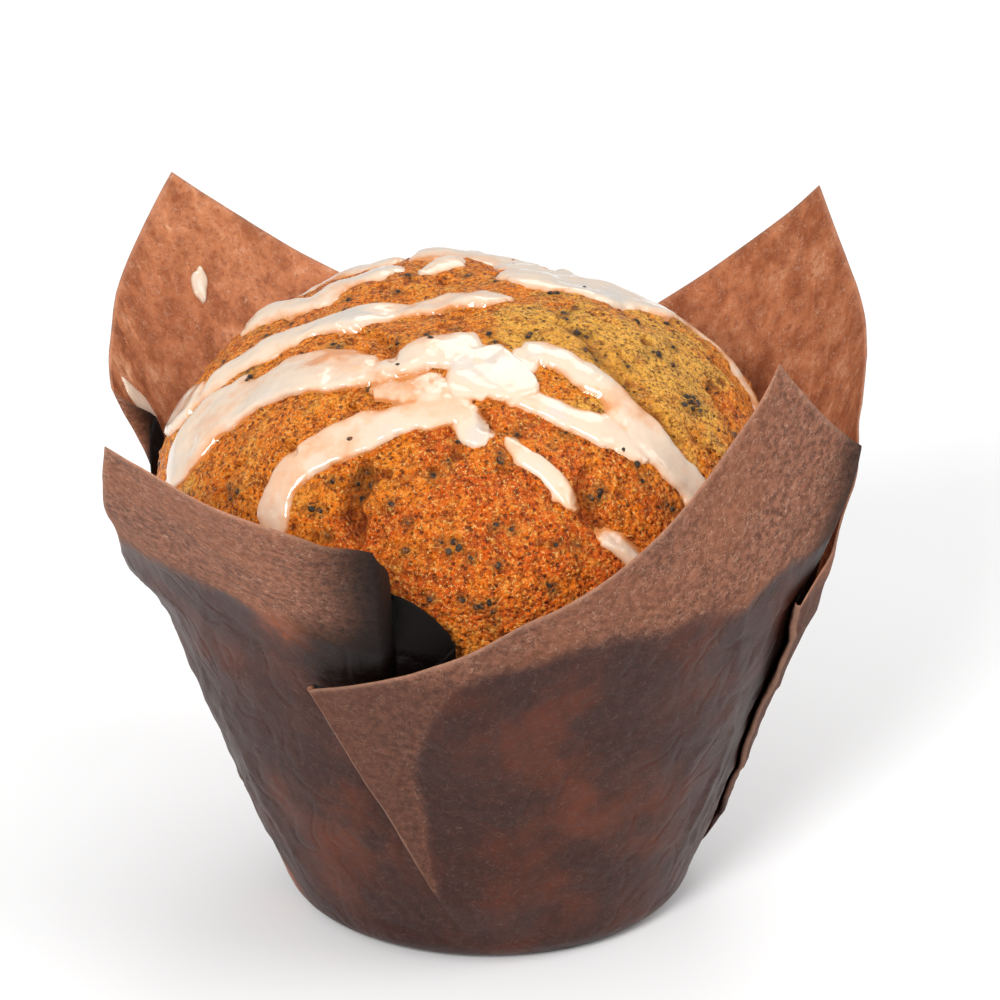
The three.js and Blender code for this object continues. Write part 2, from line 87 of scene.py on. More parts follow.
# Fold lines pressed into the paper: start and end in mm, width, depth
CREASES = [((-34.6, -44.4, 66.8), (-24, -46.5, 63), 0.7, 0.35),
           ((-17.3, -50.2, 64.5), (-19.8, -46, 58), 0.6, 0.5),
           ((39.5, -18.9, 57.7), (33, -24, 52), 0.9, 0.45),
           ((-13.5, -21.2, 5.2), (-6.8, -24.3, 3.4), 0.5, 0.5),
           ((-6.8, -24.3, 3.4), (-3.1, -26.9, 6.8), 0.5, 0.4)]

# Drips on the back left petal: place, half-length, half-width, height in mm, slant
DRIPS = [((-36.3, 37.4, 62.7), 2.3, 1.25, 0.7, -0.35), ((-41.9, 18.2, 55.6), 3.4, 1.5, 0.4, 0.35)]

# Height up to which the cake has soaked the paper, by azimuth
GREASE_LINE = [(0, 50), (60, 49), (120, 48), (180, 51), (215, 53.5), (227, 52.6), (241, 48), (252, 47),
               (275, 46), (295, 48), (321, 48), (329, 51), (360, 50)]

# Places on the paper where crumb shines through: place in mm, reach, strength
GLOWS = [((-22.7, -35.1, 47.4), 3.6, 0.5), ((-23.7, -8.4, 4.5), 2.4, 0.8), ((8, -33, 28), 8, 0.08),
         ((16, -28, 16), 7, 0.1), ((-16, -28, 20), 6, 0.1), ((38, 12, 40), 5, 0.3), ((-8, 36, 34), 6, 0.3)]

# Glaze lines: azimuth, elevation (degrees from the middle of the dome), half-width in mm
GLAZE_LINES = {
    "left band": [(197, 10, 3.8), (198, 17, 4.6), (199, 25, 4.8), (205, 33, 3.9), (213, 42, 4.1),
        (225, 47, 3.6), (238, 49, 2.2), (250, 57, 2.4), (262, 59, 3.4), (274, 58, 4.2)],
    "upper left": [(189, 25, 2), (186, 33, 2), (187, 42, 2.8), (187, 50, 2.3), (191, 58, 2.8),
        (190, 66, 2.4), (196, 75, 2.2), (217, 82, 2.2), (294, 84, 2.2), (329, 79, 1.8)],
    "far left": [(163, 33, 2.2), (158, 38, 2.4), (159, 48, 2.2), (146, 53, 2.4), (131, 61, 2.4)],
    "top": [(112, 56, 2.3), (92, 56, 2.1), (74, 58, 2.6), (60, 63, 3.4)],
    "top branch": [(127, 69, 1), (111, 67, 1.3), (97, 64, 1.5)],
    "top right": [(60, 64, 4.6), (43, 65, 5.6), (33, 59, 6.2), (28, 53, 5.8), (25, 46, 5), (23, 41, 3.8),
        (23, 36, 2.4), (22, 29, 1.3), (16, 23, 1.1), (8, 15, 1)],
    "middle": [(271, 58, 3.4), (277, 54, 4.8), (284, 52, 5.4), (291, 53, 4.2)],
    "outer right": [(294, 57, 2.8), (301, 56, 2.2), (307, 50, 1.8), (311, 42, 2.2), (313, 34, 2.5),
        (314, 27, 2.6), (315, 22, 2.5), (317, 18, 2.4), (319, 11, 2.4)],
    "inner right": [(283, 46, 3), (290, 42, 2), (296, 37, 1.9), (302, 33, 1.9), (306, 29, 1.5),
        (308, 25, 1)],
    "streak": [(279, 34, 0.8), (282, 30, 1.3), (286, 27, 1.4), (289, 22, 1.1), (291, 19, 0.8)],
    "low streak": [(295, 13, 0.8), (298, 11, 1), (301, 7, 1.2)],
    "front left": [(232, 11, 2.3), (231, 17, 2.2), (232, 22, 2.2), (234, 25, 2.3), (238, 30, 2.6),
        (243, 34, 2.8), (249, 37, 2.3), (255, 40, 2.5), (263, 42, 2.8), (270, 41, 2.6)],
    "joint": [(263, 47, 2.2), (270, 48, 2.8), (277, 46, 2.2)],
    "front drop": [(269, 40, 1.8), (270, 37.5, 2.1), (272, 35.5, 2.2), (275, 35, 1.6)],
    "film": [(240, 44, 2), (250, 45, 2.4), (262, 46, 2.4)],
    "left drop": [(174, 14, 2), (179, 17, 3.6), (187, 23, 2.5)],
    "back left": [(146, 14, 1.6), (140, 26, 1.7), (128, 38, 1.6), (116, 50, 1.8)],
    "back": [(104, 12, 1.5), (96, 26, 1.7), (90, 42, 1.8), (88, 54, 1.9)],
    "back right": [(62, 12, 1.6), (58, 26, 1.8), (50, 42, 1.8), (46, 56, 2.2)],
}

# Thicker, whiter glaze (above 0) or glaze that lets the crust show: azimuth, elevation, spread, change
GLAZE_BODY = [(190, 60, 5, 0.5), (271, 35, 4, 0.6), (177, 17, 6, 0.6), (279, 50, 6, 0.35),
              (289, 54, 5, 0.35), (20, 56, 8, 0.45), (295, 40, 4, 0.35), (286, 26, 6, 0.4),
              (131, 61, 5, 0.4), (237, 24, 3, 0.3), (214, 41, 5, -0.3), (216, 48, 4, -0.35),
              (242, 48, 4, -0.3), (255, 62, 4, -0.25), (240, 32, 4, -0.3), (318, 36, 5, -0.35),
              (308, 40, 4, -0.3), (202, 24, 5, -0.2), (59, 65, 4, -0.25), (111, 61, 5, -0.25),
              (250, 45, 6, -0.3)]

# Cracks and hollows: azimuth, elevation, half-width and depth in mm
CRACKS = {
    "left crag": [(246, 27, 1.1, 1.5), (247, 24, 1.3, 1.9), (246, 20, 1.5, 2.2), (247, 16, 1.4, 2),
        (249, 12, 1.1, 1.5)],
    "middle": [(274, 41, 0.8, 1.2), (274, 38, 0.9, 1.6), (276, 35.5, 0.7, 1.2)],
    "right crack": [(296, 26, 0.7, 1), (293, 22, 0.9, 1.4), (293, 18, 1.2, 1.9), (296, 14, 0.9, 1.4),
        (302, 9, 1, 1.5)],
    "valley": [(325, 62, 1.3, 0.9), (326, 55, 1.4, 1), (321, 48, 1.3, 1), (320, 41, 1.3, 0.9),
        (320, 33, 1.4, 0.9), (321, 25, 1.4, 0.8)],
    "right hollow": [(349, 29, 0.9, 0.8), (346, 26, 1.1, 1.1), (341, 22, 0.9, 0.8)],
    "upper crack": [(240, 53, 0.8, 0.9), (233, 57, 0.8, 1), (220, 60, 0.7, 0.8)],
    "back crack": [(78, 24, 0.9, 1), (74, 32, 1.1, 1.2), (66, 38, 0.9, 1)],
    "far crack": [(118, 22, 0.9, 1), (110, 26, 1, 1.1), (110, 34, 0.8, 0.9)],
    "crater": [(236, 39, 0.7, 0.9), (238, 37, 0.6, 1.1)],
    "hole by the glaze": [(228, 27, 0.7, 1.1), (231, 26, 0.6, 0.9)],
    "under the band": [(241, 49, 0.6, 0.7), (248, 48, 0.7, 0.9), (254, 52, 0.6, 0.7)],
    "top left": [(198, 56, 0.5, 0.6), (217, 60, 0.7, 0.8)],
    "right slope": [(326, 27, 0.5, 0.6), (327, 24, 0.6, 0.8), (327, 19, 0.5, 0.6)],
    "front low": [(270, 11, 0.5, 0.5), (275, 8, 0.7, 0.7), (282, 9, 0.5, 0.5)],
    "left low": [(219, 22, 0.5, 0.6), (216, 17, 0.6, 0.7), (218, 13, 0.5, 0.6)],
    "back low": [(20, 20, 0.6, 0.8), (30, 18, 0.8, 1.0), (40, 22, 0.6, 0.8)],
}

# How brown the crust is baked round a place: azimuth, elevation, spread in degrees, change
TOAST = [(272, 12, 34, 0.42), (265, 38, 13, 0.18), (318, 52, 20, -0.5), (345, 42, 22, -0.3),
         (200, 32, 22, -0.12), (346, 25, 5, 0.55), (300, 26, 13, 0.3), (252, 26, 7, -0.3),
         (262, 62, 12, 0.2), (90, 30, 40, 0.2), (130, 20, 25, 0.2)]
OCHRE = [(322, 58, 9, 0.8), (322, 47, 7, 0.7), (319, 38, 7, 0.7), (321, 28, 7, 0.6), (300, 66, 10, 0.5),
         (352, 36, 12, 0.25)]

# Seeds that show in front: azimuth and elevation
FRONT_SEEDS = [
    (251, 61), (244, 51), (329, 80), (304, 63), (176, 39), (254, 20), (240, 17),
    (314, 14), (350, 29), (332, 31), (219, 16), (221, 16), (245, 23), (248, 23), (247, 20), (239, 17),
    (265, 29), (267, 14), (268, 13), (258, 17), (258, 12), (277, 29), (275, 10), (262, 26), (359, 52),
    (358, 49), (352, 40), (340, 43), (337, 44), (340, 42), (2, 31), (330, 31), (333, 32), (334, 30),
    (319, 40), (282, 35), (298, 34), (321, 51), (319, 49), (317, 52), (261, 68), (247, 63), (208, 51),
    (232, 60), (161, 70), (177, 65), (172, 44), (163, 57), (306, 21), (309, 16), (310, 15), (296, 20),
    (275, 17), (278, 16), (272, 3), (274, 2), (263, 4), (284, 6), (286, 13), (246, 34),
]


def smooth(lo, hi, x):
    t = np.clip((np.asarray(x, float) - lo) / (hi - lo), 0, 1)
    return t * t * (3 - 2 * t)


def lattice(ix, iy, iz, seed):
    h = (ix * 374761393 + iy * 668265263 + iz * 1440662683 + seed * 974634777) & 0xFFFFFFFF
    h = ((h ^ (h >> 13)) * 1274126177) & 0xFFFFFFFF
    h = h ^ (h >> 16)
    return (h & 0xFFFF) / 32767.5 - 1.0


def noise(points, size, seed=0):
    """Smooth noise from -1 to 1 at points in mm, with features of about size."""
    q = np.asarray(points, float) / size + 17.3
    cell = np.floor(q).astype(np.int64)
    f = q - cell
    f = f * f * f * (f * (f * 6 - 15) + 10)
    total = np.zeros(q.shape[:-1])
    for corner in range(8):
        d = [(corner >> k) & 1 for k in range(3)]
        weight = np.ones(q.shape[:-1])
        for k in range(3):
            weight = weight * (f[..., k] if d[k] else 1 - f[..., k])
        total += weight * lattice(cell[..., 0] + d[0], cell[..., 1] + d[1], cell[..., 2] + d[2], seed)
    return total


TURN = np.array([[0.36, 0.48, -0.8], [-0.8, 0.6, 0.0], [0.48, 0.64, 0.6]])


def fbm(points, size, seed=0, octaves=4, gain=0.55):
    total = 0
    weight = 1.0
    p = np.asarray(points, float)
    for k in range(octaves):
        total = total + weight * noise(p, size, seed + k)
        p = p @ TURN.T
        size *= 0.53
        weight *= gain
    return total


def cells(points, size, seed=0):
    """Distance to the nearest scattered point, in cell sizes."""
    q = np.asarray(points, float) / size + 31.7
    cell = np.floor(q).astype(np.int64)
    best = np.full(q.shape[:-1], 9.0)
    for dx in (-1, 0, 1):
        for dy in (-1, 0, 1):
            for dz in (-1, 0, 1):
                c = cell + np.array([dx, dy, dz])
                off = [0.5 + 0.45 * lattice(c[..., 0], c[..., 1], c[..., 2], seed + k) for k in (1, 2, 3)]
                gap = c + np.stack(off, -1) - q
                best = np.minimum(best, (gap * gap).sum(-1))
    return np.sqrt(best)


def ring_quads(rings, sides, start=0):
    """Quads between rings of vertices that follow one another, seen from outside where rings rise."""
    r, c = np.meshgrid(np.arange(rings - 1), np.arange(sides), indexing="ij")
    d = (c + 1) % sides
    a = start + r * sides
    return np.stack([a + c, a + d, a + sides + d, a + sides + c], -1).reshape(-1, 4)


def net_quads(n):
    """Vertex numbers of an n x n net, and its quads."""
    index = np.arange((n + 1) ** 2).reshape(n + 1, n + 1)
    return index, np.stack([index[:-1, :-1], index[1:, :-1], index[1:, 1:], index[:-1, 1:]], -1)


def mesh_object(name, verts, quads, tris, material, values):
    """Mesh object from mm coordinates, quads and triangles, with named values per vertex."""
    quads = np.asarray(quads, np.int64).reshape(-1, 4)
    tris = np.asarray(tris, np.int64).reshape(-1, 3)
    mesh = bpy.data.meshes.new(name)
    mesh.vertices.add(len(verts))
    mesh.vertices.foreach_set("co", (np.asarray(verts, float) * MM).ravel())
    loops = np.concatenate([quads.ravel(), tris.ravel()])
    mesh.loops.add(len(loops))
    mesh.loops.foreach_set("vertex_index", loops)
    mesh.polygons.add(len(quads) + len(tris))
    starts = np.concatenate([np.arange(len(quads)) * 4, len(quads) * 4 + np.arange(len(tris)) * 3])
    mesh.polygons.foreach_set("loop_start", starts)
    mesh.update(calc_edges=True)
    mesh.validate()
    mesh.polygons.foreach_set("use_smooth", np.ones(len(mesh.polygons), bool))
    for key, data in values.items():
        layer = mesh.attributes.new(key, "FLOAT", "POINT")
        layer.data.foreach_set("value", np.asarray(data, float))
    mesh.materials.append(material)
    obj = bpy.data.objects.new(name, mesh)
    scene.collection.objects.link(obj)
    return obj


# Paper

def top_lean(azimuth):
    lean = np.full(np.shape(azimuth), WALL_TILT)
    for petal in PETALS:
        corner = radians(petal["corner"])
        away = np.abs(np.arctan2(np.sin(azimuth - corner), np.cos(azimuth - corner)))
        share = 1 - smooth(radians(12), radians(44), away)
        lean = lean + (radians(petal["lean"]) - WALL_TILT) * share
    return lean


def wall_profile(azimuth, length):
    straight = np.minimum(length, BEND_FROM)
    radius = WALL_START + straight * sin(WALL_TILT)
    height = CAD_PAPER / 2 + BASE_FILLET * (1 - sin(WALL_TILT)) + straight * cos(WALL_TILT)
    lean = top_lean(azimuth)
    steps = 10
    step = np.maximum(0, length - BEND_FROM) / steps
    for i in range(steps):
        at = BEND_FROM + (i + 0.5) * step
        tilt = WALL_TILT + (lean - WALL_TILT) * smooth(BEND_FROM, BEND_FROM + BEND_OVER, at)
        radius = radius + step * np.sin(tilt)
        height = height + step * np.cos(tilt)
    return radius, height


def spiral(length):
    return length / (WALL_START + length * sin(WALL_TILT))


def cut_edge(low, high, span, share, lift):
    """Wall length of the sheet's straight edge between two columns, at a share of their angle."""
    a = WALL_START + low
    b = WALL_START + high
    angle = radians(span)
    across = a * sin(angle * share) + b * sin(angle * (1 - share))
    return a * b * sin(angle) / across - WALL_START + lift * arch(share)


def mix(a, b, t):
    return a + (b - a) * t


def arch(share):
    return sin(pi * share)


def paper_columns():
    """Foot, top azimuth, top length, layer, along, out, pocket shade, lap and low shade of every column, once
    round.

    Lap is the azimuth where the cake begins to soak the outer layer of a pleat, or far off elsewhere.
    Pocket shade and low shade are painted shade: how dark a pleat makes the column, all the way up or low
    down.
    """
    cols = []

    def add(foot, top, length, layer, along=0.0, out=0.0, pocket_shade=0.0, lap=-999.0, low_shade=0.0):
        cols.append((radians(foot), radians(top), length, layer, along, out, pocket_shade, lap, low_shade))

    step = 2.2
    for index, p in enumerate(PETALS):
        before = PETALS[index - 1]
        after = PETALS[(index + 1) % 4]
        end = after["foot"] + (360 if index == 3 else 0)
        fold = after["fold"] + (360 if index == 3 else 0)
        corner_foot = mix(p["foot"], end, 0.5)
        gap = radians(before["tuck"] - p["fold"])
        under = atan2(sin(gap), cos(gap)) * TOP_RADIUS

        # outer fold, from the middle layer to the outer one
        for turn in (0.5, 0.33, 0.17, 0.0):
            angle = pi * turn
            add(p["foot"] + 1 - 2 * turn, p["fold"], p["fold_top"], 1.5 + 0.5 * cos(angle),
                0.5 * (1 - sin(angle)), lap=p["foot"] - LAP_BACK)

        # up to the corner of the sheet
        rise = 46
        for i in range(1, rise):
            share = i / rise
            top = mix(p["fold"], p["corner"], share)
            arc = radians(top - p["fold"]) * TOP_RADIUS
            layer = 2 * (1 - float(smooth(under, under + PLEAT_BLEND, arc)))
            length = cut_edge(p["fold_top"], p["tip"], 41, share, p["rise_lift"])
            out = p["rise_out"] * arch(share)
            add(mix(p["foot"] + 1, corner_foot, share), top, length, layer, out=out, lap=p["foot"] - LAP_BACK)
        add(corner_foot, p["corner"], p["tip"], 0)

        # down to the place where the edge turns inwards
        turn_foot = mix(corner_foot, end, 0.45)
        fall = 20
        for i in range(1, fall + 1):
            share = i / fall
            length = cut_edge(p["tip"], p["turn_top"], 12, share, p["fall_lift"])
            kink = float(smooth(0.8, 1, share)) - 0.3 * exp(-((share - 0.82) / 0.05) ** 2)
            length += p["notch"] * kink
            # painted shade: the edge darkens towards the turn, and on the front left petal also lower down
            add(mix(corner_foot, turn_foot, share), mix(p["corner"], p["turn"], share), length, 0,
                out=p["turn_out"] * share, pocket_shade=p["shade"] * float(smooth(0.62, 1, share)),
                low_shade=p["low_shade"] * float(smooth(0.4, 0.65, share)))

        # rolled in to the cake
        roll_foot = mix(turn_foot, end, 0.45)
        roll = 16
        for i in range(1, roll + 1):
            share = i / roll
            drop = 0.5 - 0.5 * cos(pi * share)
            top = mix(p["turn"], p["roll"], share) + p["bulge"] * arch(share)
            length = mix(p["turn_top"], p["roll_top"], share ** 1.3) + p["notch"] * (1 - share)
            # painted shade, deepening into the roll
            add(mix(turn_foot, roll_foot, share), top, length, 0, out=mix(p["turn_out"], p["roll_out"], drop),
                pocket_shade=max(drop, p["shade"]), low_shade=p["low_shade"])

        # along the cake to the inner fold, painted black as shade inside the pleat
        end_foot = end - step * 1.5
        along = 14
        for i in range(1, along):
            share = i / along
            length = mix(p["roll_top"], p["tuck_top"], share) + 1.2 * arch(share)
            add(mix(roll_foot, end_foot, share), mix(p["roll"], p["tuck"], share), length, 0,
                out=mix(p["roll_out"], -1.6, share), pocket_shade=1)
        for turn in (1.0, 0.83, 0.67, 0.5, 0.33, 0.17, 0.0):
            angle = pi * turn
            add(end - step * (0.8 + 0.7 * turn), p["tuck"], p["tuck_top"], 0.5 + 0.5 * cos(angle),
                -0.5 * (1 - sin(angle)), -1.6 + 0.8 * (1 - turn), 1)

        # middle layer, back to the outer fold of the next petal, painted black as shade
        back = 14
        for i in range(1, back + 1):
            share = i / back
            turn = max(0, share - 0.9) * 10
            length = mix(p["tuck_top"], after["fold_top"], share) - p["sag"] * arch(share)
            add(end - step * (0.8 - 0.5 * share), mix(p["tuck"], fold, share), length, 1, 0.5 * turn,
                -0.8 * (1 - share), 1)
    return np.array(cols).T


def paper_surface(cols, lengths):
    """Middle surface of the paper at wall lengths (rows x columns), and the wall's outward direction."""
    foot, top, top_length, layer, along, out = cols[:6]
    turned = spiral(lengths) / spiral(top_length)
    azimuth = foot + (top - foot) * turned
    radius, height = wall_profile(azimuth, lengths)
    risen = smooth(0, PLEAT_START, lengths)
    pitch = 0.5 + 0.4 * smooth(20, 42, lengths)
    free = (lengths - BEND_FROM) / np.maximum(top_length - BEND_FROM, 1)
    off = risen * layer * pitch + out * smooth(0, 1, free)
    lean = WALL_TILT + (top_lean(azimuth) - WALL_TILT) * smooth(BEND_FROM, BEND_FROM + BEND_OVER, lengths)
    radius = radius + off * np.cos(lean)
    height = height - off * np.sin(lean)
    at = azimuth + risen * along * pitch / radius
    points = np.stack([radius * np.cos(at) + WALL_DRIFT * height, radius * np.sin(at), height], -1)
    outward = np.stack([np.cos(lean) * np.cos(at), np.cos(lean) * np.sin(at), -np.sin(lean)], -1)
    return points, outward, azimuth


def crease(points, start, end, width, depth):
    """A soft fold line between two places on the paper."""
    start = np.array(start, float)
    line = np.array(end, float) - start
    share = np.clip((points - start) @ line / (line @ line), 0, 1)
    gap = norm(points - start - share[..., None] * line, axis=-1)
    return depth * np.exp(-(gap / width) ** 2) * np.sin(pi * np.clip(share, 0.08, 0.92))


def wrinkles(points, height):
    """Outward displacement of the paper in mm, finer where it clings to the cake."""
    tall = points * np.array([1, 1, 0.6])
    soft = 0.3 * fbm(points, 13, 5, 2) * smooth(3, 14, height)
    cling = smooth(52, 44, height)
    side = smooth(0.55, 0.95, np.abs(np.cos(np.arctan2(points[..., 1], points[..., 0]))))
    folds = (1 - np.abs(noise(tall, 5.5, 21))) ** 4
    fine = 0.08 * fbm(points, 3.6, 9, 3) + (0.05 + 0.3 * side) * folds
    fine = fine + 0.22 * side * (1 - np.abs(noise(tall, 2.6, 27))) ** 3
    dry = 0.09 * fbm(points, 6, 14, 3) + 0.16 * side * folds
    total = soft + (fine * cling + dry * (1 - cling)) * smooth(3, 12, height)
    return total - sum(crease(points, *place) for place in CREASES)


def build_paper(material):
    cols = paper_columns()
    feet = cols[0]
    low = CAD_PAPER / 2
    flat = [3, 7, 11, 15, 18.5, BASE_RADIUS]
    angle = np.linspace(0, pi / 2 - WALL_TILT, 7)[1:]
    radii = np.concatenate([flat, BASE_RADIUS + BASE_FILLET * np.sin(angle)])
    heights = low + BASE_FILLET * np.concatenate([np.zeros(len(flat)), 1 - np.cos(angle)])
    spokes = np.stack([np.cos(feet), np.sin(feet), 0 * feet], -1)
    bottom = radii[:, None, None] * spokes + heights[:, None, None] * np.array([0, 0, 1])
    levels = np.linspace(0, 1, PAPER_ROWS)[1:]
    lengths = levels[:, None] * cols[2][None, :]
    points, outward, turned = paper_surface(cols, lengths)
    points = points + outward * wrinkles(points, points[..., 2])[..., None]
    grid = np.concatenate([bottom, points])
    pole = np.array([0, 0, low])
    across = np.roll(grid, -1, 1) - np.roll(grid, 1, 1)
    up = np.empty_like(grid)
    up[1:-1] = grid[2:] - grid[:-2]
    up[0] = grid[1] - pole
    up[-1] = grid[-1] - grid[-2]
    normal = np.cross(across, up)
    normal /= norm(normal, axis=-1, keepdims=True) + 1e-9
    m, n = grid.shape[:2]
    outer = (grid + normal * PAPER / 2).reshape(-1, 3)
    inner = (grid - normal * PAPER / 2).reshape(-1, 3)
    verts = np.concatenate([outer, inner, [pole - [0, 0, PAPER / 2]], [pole + [0, 0, PAPER / 2]]])
    quads_out = ring_quads(m, n)
    quads_in = quads_out[:, ::-1] + m * n
    c = np.arange(n)
    d = (c + 1) % n
    rim = (m - 1) * n
    quads_rim = np.stack([rim + c, rim + d, rim + d + m * n, rim + c + m * n], -1)
    tris = np.concatenate([
        np.stack([np.full(n, 2 * m * n), d, c], -1),
        np.stack([np.full(n, 2 * m * n + 1), c + m * n, d + m * n], -1),
    ])

    def on_grid(upper):
        return np.concatenate([np.zeros((len(radii), n)), np.broadcast_to(upper, (len(levels), n))])

    def both(data, pole_value=0.0):
        return np.concatenate([data.ravel(), data.ravel(), [pole_value, pole_value]])

    tall = points[..., 2]
    azimuth = np.degrees(np.arctan2(grid[..., 1], grid[..., 0])) % 360
    line = np.interp(azimuth, [place for place, _ in GREASE_LINE], [height for _, height in GREASE_LINE])
    soaked = smooth(1.3, -1.6, grid[..., 2] - line + 1.3 * fbm(grid, 7, 40, 3))
    past = np.degrees(turned) - cols[7] - 15 * np.clip((tall - 32) / 16, 0, 1) ** 1.7
    past = past + 1.6 * fbm(points, 6, 44, 3)
    grease = soaked * on_grid(smooth(-1.3, 1.5, past))
    grease[:len(radii)] = 1
    # painted shade: dry outer pleat layers darker where other layers and the cake lie behind them, and the
    # front right petal darker towards the left
    lap_shade = smooth(1, -1, past) * (cols[7] > 0) * smooth(47, 43, tall)
    front = cols[7] == PETALS[1]["foot"] - LAP_BACK
    lap_shade = np.maximum(lap_shade, 0.46 * front * smooth(36, -2, points[..., 0]))
    # painted shade: the front left roll darker lower down above the front right edge, and the pleats black
    low_shade = cols[8] * smooth(55.5, 48, tall) * smooth(36, 44, tall)
    pocket_shade = 1 - (1 - cols[6] * smooth(12, 38, tall)) * (1 - low_shade)
    # lighter along the top rim of the sheet, and a painted highlight along the outer fold of each pleat
    fold_line = (cols[7] > 0) & (np.degrees(feet) - cols[7] - LAP_BACK < 0.9)
    edge = np.maximum(smooth(0.985, 1, levels)[:, None], 0.8 * fold_line * smooth(10, 20, tall))
    glow = sum(size * np.exp(-((grid - place) ** 2).sum(-1) / reach ** 2) for place, reach, size in GLOWS)
    values = {
        "glow": both(glow * (cols[3] < 1.5)),
        "grease": both(grease, 1),
        "inside": np.concatenate([np.zeros(m * n), np.ones(m * n), [0, 1]]),
        "pocket_shade": both(on_grid(pocket_shade)),
        "lap_shade": both(on_grid(lap_shade)),
        "edge": both(on_grid(edge)),
    }
    quads = np.concatenate([quads_out, quads_in, quads_rim])
    return mesh_object("case_paper", verts, quads, tris, material, values), grid, normal


def build_paper_drips(material, grid, normal):
    """Two drips of glaze on the inner side of the back left petal."""
    sides = 40
    rings = 12
    share = np.repeat(np.arange(rings + 1) / rings, sides)
    angle = np.tile(2 * pi * np.arange(sides) / sides, rings + 1)
    point = 1 - 0.4 * smooth(0.2, 1, np.abs(np.cos(angle)))
    verts = []
    quads = []
    tris = []
    for number, (place, long, wide, high, slant) in enumerate(DRIPS):
        gap = norm(grid - place, axis=-1)
        row, col = np.unravel_index(gap.argmin(), gap.shape)
        centre = grid[row, col]
        out = -normal[row, col]
        down = np.array([0, 0, -1.0])
        down = down - out * (down @ out)
        down /= norm(down)
        across = np.cross(out, down)
        cloud = grid[gap < 9] - centre
        uneven = 1 + 0.1 * np.sin(3 * angle + 1 + centre[2]) + 0.06 * np.sin(5 * angle)
        u = share * long * np.cos(angle) * uneven
        v = share * wide * np.sin(angle) * (0.55 + 0.45 * point) * uneven + slant * u
        near = (cloud @ down - u[:, None]) ** 2 + (cloud @ across - v[:, None]) ** 2
        pick = np.argsort(near, 1)[:, :4]
        weight = 1 / (np.take_along_axis(near, pick, 1) + 0.02)
        ground = ((cloud @ out)[pick] * weight).sum(1) / weight.sum(1)
        dome = high * np.sqrt(1 - share ** 2.4) + PAPER / 2 - 0.12 * (share == 1)
        verts.append(centre + np.outer(u, down) + np.outer(v, across) + np.outer(ground + dome, out))
        verts.append([centre])
        start = number * (len(share) + 1)
        quads.append(ring_quads(rings + 1, sides, start)[:, ::-1])
        foot = start + rings * sides
        tris += [(foot + (j + 1) % sides, foot + j, foot + sides) for j in range(sides)]
    verts = np.concatenate(verts)
    values = {"thick": np.full(len(verts), 0.9)}
    return mesh_object("paper_drips", verts, np.concatenate(quads), tris, material, values)


# Cake

def direction(azimuth, elevation):
    flat = np.cos(elevation)
    return np.stack([flat * np.cos(azimuth), flat * np.sin(azimuth), np.sin(elevation)], -1)


def place_on_dome(azimuth, elevation):
    """Unit direction from azimuth and elevation in degrees."""
    return direction(np.radians(azimuth), np.radians(elevation))


def dome_reach(d):
    flat = np.hypot(d[..., 0], d[..., 1]) / DOME_RADIUS
    tall = np.abs(d[..., 2]) / DOME_HEIGHT
    reach = np.full(flat.shape, DOME_RADIUS)
    for _ in range(14):
        size = (reach * flat) ** DOME_POWER + (reach * tall) ** 2
        reach = reach * (1 - (size - 1) / 2.4)
    return reach


def dough(d):
    x, y, z = d[..., 0], d[..., 1], d[..., 2]
    total = 0.5 * np.sin(4.1 * x + 2.3 * y + 0.6)
    total = total + 0.4 * np.sin(-3.2 * x + 5.7 * y + 2.1 * z + 1.9)
    total = total + 0.25 * np.sin(9.4 * x - 6.1 * y + 7.3 * z)
    total = total + 0.2 * np.sin(12.8 * y + 10.3 * x - 5.2 * z + 0.9)
    return total + 0.14 * np.sin(21 * x + 17 * z) * np.sin(19 * y - 3 * x)


def square_to_dome(n):
    """Directions of an even n x n net over the dome, from the pole to the brim."""
    t = np.linspace(-1, 1, n + 1)
    u, v = np.meshgrid(t, t, indexing="ij")
    wide = np.abs(u) > np.abs(v)
    r = np.where(wide, u, v)
    with np.errstate(divide="ignore", invalid="ignore"):
        angle = np.where(wide, (pi / 4) * (v / u), pi / 2 - (pi / 4) * (u / v))
    angle = np.where(r == 0, 0, angle)
    azimuth = np.where(r < 0, angle + pi, angle)
    reach = np.abs(r)
    elevation = pi / 2 * (1 - reach) - 0.16 * np.sin(pi * reach)
    return direction(azimuth, elevation), elevation


def smooth_path(line):
    """Points on the dome and the further values along a smooth curve through a line's knots."""
    knots = np.array([list(place_on_dome(knot[0], knot[1])) + list(knot[2:]) for knot in line])
    ends = np.vstack([2 * knots[0] - knots[1], knots, 2 * knots[-1] - knots[-2]])
    out = []
    for i in range(1, len(ends) - 2):
        p0, p1, p2, p3 = ends[i - 1:i + 3]
        for t in np.linspace(0, 1, 6, endpoint=False):
            bend = (2 * p0 - 5 * p1 + 4 * p2 - p3) * t * t + (3 * p1 - p0 - 3 * p2 + p3) * t ** 3
            out.append(0.5 * (2 * p1 + (p2 - p0) * t + bend))
    out.append(ends[-2])
    out = np.array(out)
    d = out[:, :3] / norm(out[:, :3], axis=1, keepdims=True)
    return d * dome_reach(d)[:, None], out[:, 3:]


